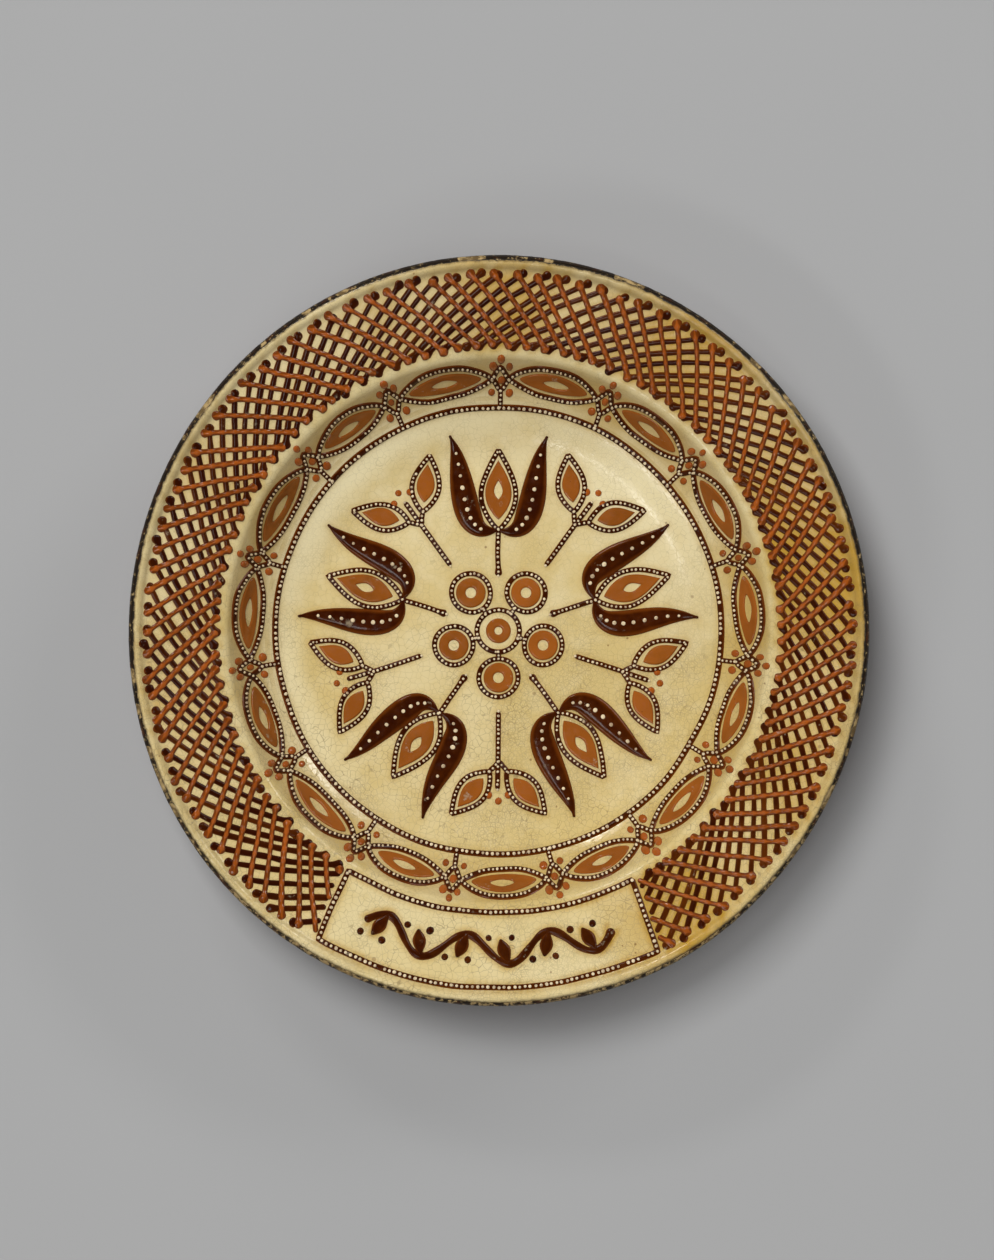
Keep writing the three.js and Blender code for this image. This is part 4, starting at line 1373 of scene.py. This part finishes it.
def fired_clay(nodes, colours):
    """Fired red-buff clay, turned on the back, with dark worn glaze round the lip."""
    cloud, grain = nodes.noise(18.0, 5.0), nodes.noise(900.0)
    rings = nodes.use("Turning rings", Rings=420.0)["Height"]
    tone = nodes.scaled(rings, 0.4, nodes.times(cloud, 0.7))
    dusky = [value * 0.58 for value in colours.clay]
    pale = [min(value * 1.25 + 0.02, 1.0) for value in colours.clay]
    colour = nodes.blend(nodes.fade(tone, 0.35, 0.75), dusky, pale)
    specks = nodes.use("Iron specks", Cells=330.0, Share=0.12)["Specks"]
    colour = nodes.blend(nodes.times(specks, 0.6), colour, colours.edge)
    runs = nodes.scaled(nodes.noise(70.0, 4.0), 0.7, nodes.mark("lip"))
    glazed = nodes.fade(runs, 0.78, 0.92)
    thinner = nodes.fade(nodes.noise(120.0, 4.0), 0.5, 0.95)
    glaze = nodes.blend(thinner, colours.edge, colours.dark_thin)
    bared = nodes.fade(nodes.axis("Y"), -0.2, 0.02, 0.10, 0.0)
    scuffs = nodes.plus(nodes.noise(340.0, 4.0, 0.7), bared)
    glaze = nodes.blend(nodes.fade(scuffs, 0.57, 0.66, 0.0, 0.75), glaze, colours.buff)
    colour = nodes.blend(glazed, colour, glaze)
    chipped, bare = chips(nodes, colours, 0.95, 1.2, 0.62)
    colour = nodes.blend(chipped, colour, bare)
    rough = nodes.calc("SUBTRACT", 0.78, nodes.times(glazed, 0.36))
    rough = nodes.scaled(chipped, 0.35, rough)
    rough = nodes.scaled(grain, 0.12, rough)
    nodes.shade(colour, rough, 0.25, (nodes.scaled(grain, 0.35, rings), 0.00035, 0.7))


def plain_floor(nodes, studio):
    """The plain floor, with the faintest grain."""
    tone = nodes.fade(nodes.noise(3.0, 2.0), 0.2, 0.8, 0.99, 1.01)
    colour = nodes.vector("SCALE", {0: tuple(studio.floor), "Scale": tone})
    nodes.shade(colour, 0.9, 0.1)


# Each finish of the dish: its slot, how it is made and what that needs to know
FINISHES = {
    "Fired clay": ("clay", fired_clay),
    "Cream slip": ("cream_slip", cream_slip),
    "Pale jewelling": ("cream_slip", jewelling),
    "Dark slip": ("dark_slip", trailing, "dark", "dark_thin", 0.1, 0.22),
    "Orange slip": ("orange_slip", trailing, "orange", "orange_deep", 0.0, 0.5),
    "Orange wash": ("orange_slip", trailing, "wash", "wash_deep", 0.0, 0.4),
}


def new_material(name, look, settings, *more):
    """A material with the look that a maker gives it."""
    made = bpy.data.materials.new(name)
    made.use_nodes = True
    nodes = Nodes(made.node_tree)
    nodes.place = nodes.add("TexCoord").outputs["Object"]
    look(nodes, settings, *more)
    return made


def finish_of(scene, name):
    """A finish of the dish by name, made the first time it is asked for."""
    _, look, *more = FINISHES[name]
    return bpy.data.materials.get(name) or new_material(name, look, scene.slip_finish, *more)


# Operators

# Points round the clay body and round the cream ground
BODY_TURNS = 900
GROUND_TURNS = 700

# Heights of the wheel's pads and of a round drop
WHEEL_PAD_RISE = 0.0009
DROP_RISE = 0.0011

# Where amber glaze pooled on the flange, stained the panel and gathered on the wall and at its
# foot, and where the rim is grubby. The last two tables are painted light: a paler foot of the wall
# on the left and upper left, and a painted sheen on the floor at the upper right. Each entry has
# the middle and the spread of a soft sector in degrees and an amount
FLANGE_POOLS = (
    (2, 11, 0.75),
    (34, 15, 0.9),
    (76, 24, 1.0),
    (118, 16, 0.55),
    (147, 11, 1.0),
    (262, 14, 0.3),
    (300, 9, 0.3),
    (340, 9, 0.3),
)
PANEL_STAINS = ((160, 10, 1.0), (180, 12, 0.6), (204, 8, 0.75))
RIM_GRIME = ((20, 40, 0.33), (62, 20, 0.45), (95, 22, 0.33), (235, 16, 0.18), (298, 24, 0.36))
WALL_POOLS = ((40, 32, 0.25), (85, 20, 0.2), (300, 40, 0.05))
FOOT_POOLS = ((48, 26, 0.45), (95, 16, 0.25))
PAINTED_LIGHT_FOOT = ((318, 46, 1.0), (262, 20, 0.7), (240, 16, 0.5))
PAINTED_SHEEN_FLOOR = ((44, 30, 0.75),)

# Soft rings on the wall, at its foot, below it and on the floor: the radii at which each
# begins, is full, ends and is gone
WALL_RING = (0.134, 0.142, 0.156, 0.162)
FOOT_RING = (0.127, 0.136, 0.139, 0.146)
BELOW_RING = (0.112, 0.128, 0.139, 0.146)
FLOOR_RING = (0.085, 0.104, 0.127, 0.133)


def sectors(bearing, table):
    """The greatest of several soft sectors."""
    level = np.zeros(len(bearing))
    for middle, spread, amount in table:
        off = (bearing - middle + 180) % 360 - 180
        level = np.maximum(level, amount * np.exp(-((off / spread) ** 2)))
    return level


def numbered(count):
    """Counts from 0, each with its number from 01 as it stands in a name."""
    return [(i, f"{i + 1:02d}") for i in range(count)]


def pad_inset(scene):
    """From the middle of an outline of the wheel to the edge of the pad inside it."""
    return scene.slip_wheel.outline_width / 2 + scene.slip_chain.pad_gap


class DishStep:
    """What every step shares."""

    bl_options = {"REGISTER", "UNDO"}

    @staticmethod
    def pad(scene, name, node, outline, window=None, stroke=0.5, rise=WHEEL_PAD_RISE):
        """Makes an orange piece of one pad."""
        batch = Batch(scene)
        batch.lay_pad(outline, rise, window, stroke)
        batch.settle(name, "Orange wash", node)

    @staticmethod
    def jewelled(scene, name, node, trails, seed, spots=()):
        """Makes a dark piece of trails and a pale one of the dots on it."""
        batch = Batch(scene)
        batch.lay_trails(trails)
        batch.settle(name, "Dark slip", node)
        dots = scene.slip_dots
        rng = np.random.default_rng(seed)
        batch = Batch(scene)
        for trail in trails:
            if not trail.broad:
                batch.lay_dots(trail, dots.spacing, dots.radius, rng)
        for middles, radii, base in spots:
            batch.lay_drops(middles, radii, base, dots.rise, rng)
        batch.settle(f"{name}_dots", "Pale jewelling", node)


class SLIP_OT_clay_body(DishStep, Operator):
    """Throws the clay body with its turned back and worn lip"""

    bl_idname = "slip.clay_body"
    bl_label = "Clay body"

    def execute(self, context):
        body = context.scene.slip_body
        batch = Batch(context.scene)
        points, faces = spin(self.section(body, batch.surface), BODY_TURNS)
        points, chip = worn(points, body)
        radius = np.hypot(points[:, 0], points[:, 1])
        lip_share = smoothstep(radius, body.rim_radius - 0.016, body.rim_radius - 0.004)
        batch.add(points, faces, chip=chip, lip=lip_share)
        batch.settle("thrown_body", "Fired clay", "clay_body")
        return {"FINISHED"}

    @staticmethod
    def section(body, surface):
        """The outline of the clay from the axis round the back and the lip to the axis again."""
        below = surface.clay - surface.normals * body.wall_thickness
        foot, step, every = body.base_radius, 0.0022, 22
        below = evenly(below[below[:, 0] > foot + 0.0012], step)
        run, _ = along(below)
        below[:, 1] += 0.00016 * np.sin(run * 1500) + 0.0001 * np.sin(run * 640 + 1)
        middle = lip_middle(body)
        below = below[below[:, 0] < middle[0] - 0.0008]
        base = [[0, 0], [foot * 0.5, 0], [foot - 0.0008, 0], [foot, 0.0003], [foot + 0.0006, 0.0012]]
        lip = arc(middle, body.lip_radius, -84, LIP_END, 26)
        inside = surface.clay[::-1][::every]
        inside[-1] = (0, body.floor_thickness)
        return np.vstack([base, below, lip, inside[1:]])


class SLIP_OT_cream_ground(DishStep, Operator):
    """Floods the inside with cream slip, stained beside the trails"""

    bl_idname = "slip.cream_ground"
    bl_label = "Cream ground"

    def execute(self, context):
        scene = context.scene
        batch = Batch(scene)
        surface = batch.surface
        run, total = along(surface.face)
        flat = scene.slip_body.floor_radius
        on_flat = np.linspace(0, flat, 40, endpoint=False)
        where = np.concatenate([on_flat, np.linspace(flat, total, 90)])
        under = surface.clay + surface.normals * 0.00012
        under = under[np.linspace(len(under) - 1, 0, 12).astype(int)]
        under[-1, 0] = 0
        section = np.vstack([on_line(where, run, surface.face), under[1:]])
        points, faces = spin(section, GROUND_TURNS)
        marks = self.painted(scene, points)
        edge = np.zeros(len(points))
        share = smoothstep(where[1:], total - 0.0058, total - 0.0004)
        edge[: len(share) * GROUND_TURNS] = np.repeat(share, GROUND_TURNS)
        points, chip = worn(points, scene.slip_body)
        batch.add(points, faces, edge=edge, chip=chip, **marks)
        batch.settle("cream_ground", "Cream slip", "cream_coat")
        return {"FINISHED"}

    @staticmethod
    def painted(scene, points):
        """How far each point is stained, pooled over, lightened as painted light, crazed and grimy."""
        lines = tree_of(drawn_sides(scene))
        outer, inner = trellis_edges(scene)
        radius = np.hypot(points[:, 0], points[:, 1])
        bearing = np.degrees(bearing_of(points)) % 360

        def on_ring(begins, full, ends, gone):
            return smoothstep(radius, begins, full) * (1 - smoothstep(radius, ends, gone))

        on_flange = smoothstep(radius, inner - 0.004, inner + 0.002)
        on_rim = smoothstep(radius, outer - 0.001, outer + 0.005)
        pooled = sectors(bearing, FLANGE_POOLS)
        gap = np.array([lines.find((x, y, 0))[2] for x, y, _ in points])
        stain_reach = 0.0020
        stain = np.exp(-((gap / stain_reach) ** 2))
        stained = np.maximum(pooled, sectors(bearing, PANEL_STAINS))
        stain *= 0.26 + 0.74 * stained * on_flange
        pool = np.maximum(pooled * on_flange * (0.75 + 0.25 * on_rim), 0.06 * on_rim)
        pool = np.maximum(pool, on_ring(*WALL_RING) * (0.22 + sectors(bearing, WALL_POOLS)))
        pool = np.maximum(pool, on_ring(*FOOT_RING) * sectors(bearing, FOOT_POOLS))
        # Painted light: the cream at the foot of the wall on its left and upper left is made paler,
        # where that wall faces away from the key lamp
        pale = on_ring(*BELOW_RING) * sectors(bearing, PAINTED_LIGHT_FOOT)
        # Painted light: the flange's cream outside the pools is made paler against the shade the
        # trails cast
        pale = np.maximum(pale, 0.26 * on_flange * (1 - pooled))
        # Painted sheen: the outer floor at the upper right is made paler, as a broad glossy reflection
        pale = np.maximum(pale, on_ring(*FLOOR_RING) * sectors(bearing, PAINTED_SHEEN_FLOOR))
        crazed = 0.45 + 0.55 * smoothstep(-points[:, 1], -0.04, 0.05)
        grimy = on_rim * (0.05 + sectors(bearing, RIM_GRIME))
        return {"stain": stain, "pool": pool, "pale": pale, "crazed": crazed, "grimy": grimy}


class SLIP_OT_trellis(DishStep, Operator):
    """Trails the dark and the orange families of the trellis over the flange"""

    bl_idname = "slip.trellis"
    bl_label = "Trellis"

    def execute(self, context):
        orange, dark = trellis_trails(context.scene)
        for name, trails, finish in (
            ("trellis_orange", orange, "Orange slip"),
            ("trellis_dark", dark, "Dark slip"),
        ):
            batch = Batch(context.scene)
            batch.lay_trails(trails, TRELLIS_STEP)
            batch.settle(name, finish, "rim_trellis")
        return {"FINISHED"}


class SLIP_OT_panel(DishStep, Operator):
    """Trails the beaded frame of the panel and the vine inside it"""

    bl_idname = "slip.panel"
    bl_label = "Panel"

    def execute(self, context):
        scene = context.scene
        dots = scene.slip_dots
        rng = np.random.default_rng(21)
        border = panel_frame(scene)
        batch = Batch(scene)
        batch.lay_trail(border)
        batch.settle("panel_border", "Dark slip", "panel_frame")
        batch = Batch(scene)
        batch.lay_dots(border, dots.ring_spacing, dots.ring_radius, rng)
        batch.settle("panel_border_dots", "Pale jewelling", "panel_frame")
        batch = Batch(scene)
        batch.lay_trails(vine_trails(scene))
        batch.lay_drops(vine_drops(scene), scene.slip_panel.drop_radius, 0.0, DROP_RISE, rng)
        batch.settle("vine", "Dark slip", "panel_vine")
        return {"FINISHED"}


class SLIP_OT_leaf_chain(DishStep, Operator):
    """Trails the ring, the strands, the jewelling and the berries of the leaf chain"""

    bl_idname = "slip.leaf_chain"
    bl_label = "Leaf chain"

    def execute(self, context):
        scene = context.scene
        dots = scene.slip_dots
        missed = 0.03
        rng = np.random.default_rng(23)
        trails = chain_trails(scene)
        batch = Batch(scene)
        batch.lay_trails(trails)
        batch.settle("chain_trails", "Dark slip", "leaf_chain")
        batch = Batch(scene)
        ring, *others = trails
        batch.lay_dots(ring, dots.ring_spacing, dots.ring_radius, rng, missed)
        for trail in others:
            batch.lay_dots(trail, dots.spacing, dots.radius, rng, missed)
        batch.settle("chain_dots", "Pale jewelling", "leaf_chain")
        batch = Batch(scene)
        batch.lay_drops(chain_berries(scene), dots.berry_radius, 0.0, DROP_RISE, rng)
        batch.settle("chain_berries", "Orange slip", "leaf_chain")
        return {"FINISHED"}


class SLIP_OT_chain_leaves(DishStep, Operator):
    """Lays the orange leaf with its open window inside every outline of the chain"""

    bl_idname = "slip.chain_leaves"
    bl_label = "Chain leaves"

    def execute(self, context):
        scene = context.scene
        rise = scene.slip_chain.pad_rise
        rng = np.random.default_rng(29)
        for leaf, number in numbered(len(KNOTS)):
            names = f"leaf_pad_{number}", f"chain_leaf_{number}"
            outline, window = leaf_lines(scene, leaf)
            self.pad(scene, *names, outline, window, stroke=rng.uniform(), rise=rise)
        return {"FINISHED"}


class SLIP_OT_rosette(DishStep, Operator):
    """Lays the rosette in the middle of the wheel"""

    bl_idname = "slip.rosette"
    bl_label = "Rosette"

    def execute(self, context):
        scene = context.scene
        wheel = scene.slip_wheel
        inset = pad_inset(scene)
        self.jewelled(scene, "rosette_lines", "rosette_outline", rosette_trails(wheel), seed=31)
        outline, window = (at(around(72), wheel.hub_radius * share) for share in (1.0, 0.3))
        self.pad(scene, "rosette_middle", "rosette_hub", outline, window)
        for spoke, number in numbered(wheel.spokes):
            petal = rosette_petal(wheel, spoke)
            names = f"petal_pad_{number}", f"rosette_petal_{number}"
            window = petal.outline(inset, share=0.34)
            self.pad(scene, *names, petal.pad(inset), window, stroke=0.2 * spoke)
        return {"FINISHED"}


class SLIP_OT_tulips(DishStep, Operator):
    """Lays the five tulips of the wheel"""

    bl_idname = "slip.tulips"
    bl_label = "Tulips"

    def execute(self, context):
        scene = context.scene
        wheel, dots = scene.slip_wheel, scene.slip_dots
        inset = pad_inset(scene)
        dotted = np.linspace(10, 50, 9).astype(int)
        for spoke, number in numbered(wheel.spokes):
            trails = tulip_trails(wheel, spoke)
            spots = []
            for broad in trails[-2:]:
                size = dots.radius * (0.7 + broad.half[dotted] / wheel.side_width * 2)
                spots.append((broad.line[dotted], size, wheel.outline_rise * 1.15))
            names = f"tulip_lines_{number}", f"tulip_{number}"
            self.jewelled(scene, *names, trails, seed=400 + spoke, spots=spots)
            heart = tulip_heart(wheel, spoke)
            names = f"heart_pad_{number}", f"tulip_heart_{number}"
            window = heart.outline(inset, tip_inset=inset * 2.2, share=0.3)
            self.pad(scene, *names, heart.pad(inset), window, stroke=0.2 * spoke)
        return {"FINISHED"}


class SLIP_OT_sprigs(DishStep, Operator):
    """Lays the sprigs between the tulips"""

    bl_idname = "slip.sprigs"
    bl_label = "Sprigs"

    def execute(self, context):
        scene = context.scene
        wheel = scene.slip_wheel
        inset = pad_inset(scene)
        rng = np.random.default_rng(37)
        past_tip, beside = 0.0045, 0.006
        tip = wheel.sprig_start + wheel.sprig_stem + wheel.sprig_tip + past_tip
        radii = tip + np.array([0.002, -0.0015, -0.0015])
        for spoke, number in numbered(wheel.spokes):
            names = f"sprig_lines_{number}", f"sprig_{number}"
            self.jewelled(scene, *names, sprig_trails(wheel, spoke), seed=500 + spoke)
            for side in (-1, 1):
                leaf = 2 * spoke + (side + 3) // 2
                names = f"sprig_pad_{leaf:02d}", f"sprig_leaf_{leaf:02d}"
                outline = sprig_leaf(wheel, spoke, side).pad(inset)
                self.pad(scene, *names, outline, stroke=rng.uniform())
            bearings = spoke_bearing(wheel, spoke + 0.5) + np.array([0, -1, 1]) * beside / tip
            batch = Batch(scene)
            radius = scene.slip_dots.berry_radius
            batch.lay_drops(at(bearings, radii), radius, 0.0, DROP_RISE, rng)
            batch.settle(f"sprig_berries_{number}", "Orange slip", f"sprig_{number}")
        return {"FINISHED"}


class SLIP_OT_stage(DishStep, Operator):
    """Sets the floor, the lamps, the world and the camera"""

    bl_idname = "slip.stage"
    bl_label = "Stage"

    def execute(self, context):
        scene = context.scene
        studio = scene.slip_studio
        self.lay_floor(scene, studio)
        self.light_world(scene)
        far, near, upper_left = 20.0, 6.0, 322
        for name, tilt, side, level in (
            ("key_lamp", 26, 7.8, studio.key_level),
            ("fill_lamp", 4, 6.0, studio.fill_level),
        ):
            self.hang_lamp(name, upper_left, tilt, far, (side, side), level, seen_in_gloss=False)
        for name, bearing, tilt, size, share in (
            ("strip_low", 224, 44, (2.6, 0.6), 0.8),
            ("strip_high", 222, 13, (1.5, 0.6), 0.55),
            ("strip_back", 45, 62, (2.6, 0.8), 0.8),
            ("strip_side", 335, 58, (1.4, 0.6), 0.8),
        ):
            self.hang_lamp(name, bearing, tilt, near, size, studio.strip_level * share)
        self.set_camera(scene, studio)
        scene.view_settings.view_transform = "Standard"
        return {"FINISHED"}

    @staticmethod
    def lay_floor(scene, studio):
        """A wide round floor."""
        mesh = bpy.data.meshes.new("studio_floor")
        sides = 96
        rings = np.array([0.5, 1.5, 4.0, 12.0])
        plan = (rings[:, None, None] * at(around(sides), 1.0)[None]).reshape(-1, 2)
        points = np.concatenate([plan, np.zeros((len(plan), 1))], 1)
        faces = grid_faces(len(rings), sides)
        faces.append(list(range(sides)))
        mesh.from_pydata(points.tolist(), [], faces)
        mesh.materials.append(new_material("Studio floor", plain_floor, studio))
        floor = bpy.data.objects.new("studio_floor", mesh)
        scene.collection.objects.link(floor)
        floor.location.z = cad_box[0][2]

    @staticmethod
    def light_world(scene):
        """Soft light from round about, dimmer straight above."""
        world = bpy.data.worlds.new("studio_world")
        world.use_nodes = True
        scene.world = world
        world.node_tree.nodes.clear()
        nodes = Nodes(world.node_tree)
        nodes.place = nodes.add("TexCoord").outputs["Generated"]
        round_about, straight_above = 0.20, 0.02
        level = nodes.fade(nodes.axis("Z"), 0.2, 0.95, round_about, straight_above)
        light = nodes.add("Background", {"Color": (1, 1, 1), "Strength": level})
        nodes.add("OutputWorld", {"Surface": light.outputs[0]})

    @staticmethod
    def hang_lamp(name, bearing, tilt, distance, size, level, seen_in_gloss=True):
        """An oblong lamp that gives a share of full light where the dish stands.

        The bearing is where it hangs, and the tilt how far from straight above, in degrees.
        """
        lamp = bpy.data.lights.new(name, "AREA")
        lamp.shape = "RECTANGLE"
        lamp.size, lamp.size_y = size
        tilt_angle = math.radians(tilt)
        lamp.energy = level * math.pi * math.pi * distance**2 / math.cos(tilt_angle)
        plan = at(math.radians(bearing), distance * math.sin(tilt_angle))
        holder = bpy.data.objects.new(name, lamp)
        holder.location = (*plan, distance * math.cos(tilt_angle))
        aim_height = 0.03
        aim = Vector((0, 0, aim_height)) - holder.location
        holder.rotation_mode = "QUATERNION"
        holder.rotation_quaternion = aim.to_track_quat("-Z", "Y")
        holder.visible_glossy = seen_in_gloss
        bpy.context.scene.collection.objects.link(holder)

    @staticmethod
    def set_camera(scene, studio):
        """A camera straight above, framed as in the photograph."""
        scale = scene.slip_body.rim_radius / RIM_IN_PICTURE
        lens = bpy.data.cameras.new("camera")
        lens.sensor_width = 36
        lens.lens = lens.sensor_width * studio.camera_height / (PICTURE_HEIGHT * scale)
        camera = bpy.data.objects.new("camera", lens)
        right = (PICTURE_WIDTH / 2 - DISH_MIDDLE[0]) * scale
        up = (DISH_MIDDLE[1] - PICTURE_HEIGHT / 2) * scale
        camera.location = (right, up, lip_middle(scene.slip_body)[1] + studio.camera_height)
        scene.collection.objects.link(camera)
        scene.camera = camera


STEPS = (
    SLIP_OT_clay_body,
    SLIP_OT_cream_ground,
    SLIP_OT_trellis,
    SLIP_OT_panel,
    SLIP_OT_leaf_chain,
    SLIP_OT_chain_leaves,
    SLIP_OT_rosette,
    SLIP_OT_tulips,
    SLIP_OT_sprigs,
    SLIP_OT_stage,
)


class SLIP_PT_steps(Panel):
    """Lists the steps that make the dish"""

    bl_idname = "SLIP_PT_steps"
    bl_label = "Slipware dish"
    bl_space_type = "VIEW_3D"
    bl_region_type = "UI"
    bl_category = "Slipware"

    def draw(self, context):
        for step in STEPS:
            self.layout.operator(step.bl_idname)


def register():
    """Registers the settings, the steps and the panel."""
    for name, kind in SIZES.items():
        bpy.utils.register_class(kind)
        setattr(bpy.types.Scene, name, PointerProperty(type=kind))
    for kind in (*STEPS, SLIP_PT_steps):
        bpy.utils.register_class(kind)


def unregister():
    """Takes them out again."""
    for kind in (SLIP_PT_steps, *reversed(STEPS)):
        bpy.utils.unregister_class(kind)
    for name, kind in reversed(SIZES.items()):
        delattr(bpy.types.Scene, name)
        bpy.utils.unregister_class(kind)


def main():
    """Makes the dish."""
    register()
    for step in STEPS:
        family, name = step.bl_idname.split(".")
        getattr(getattr(bpy.ops, family), name)()


if __name__ == "__main__":
    main()
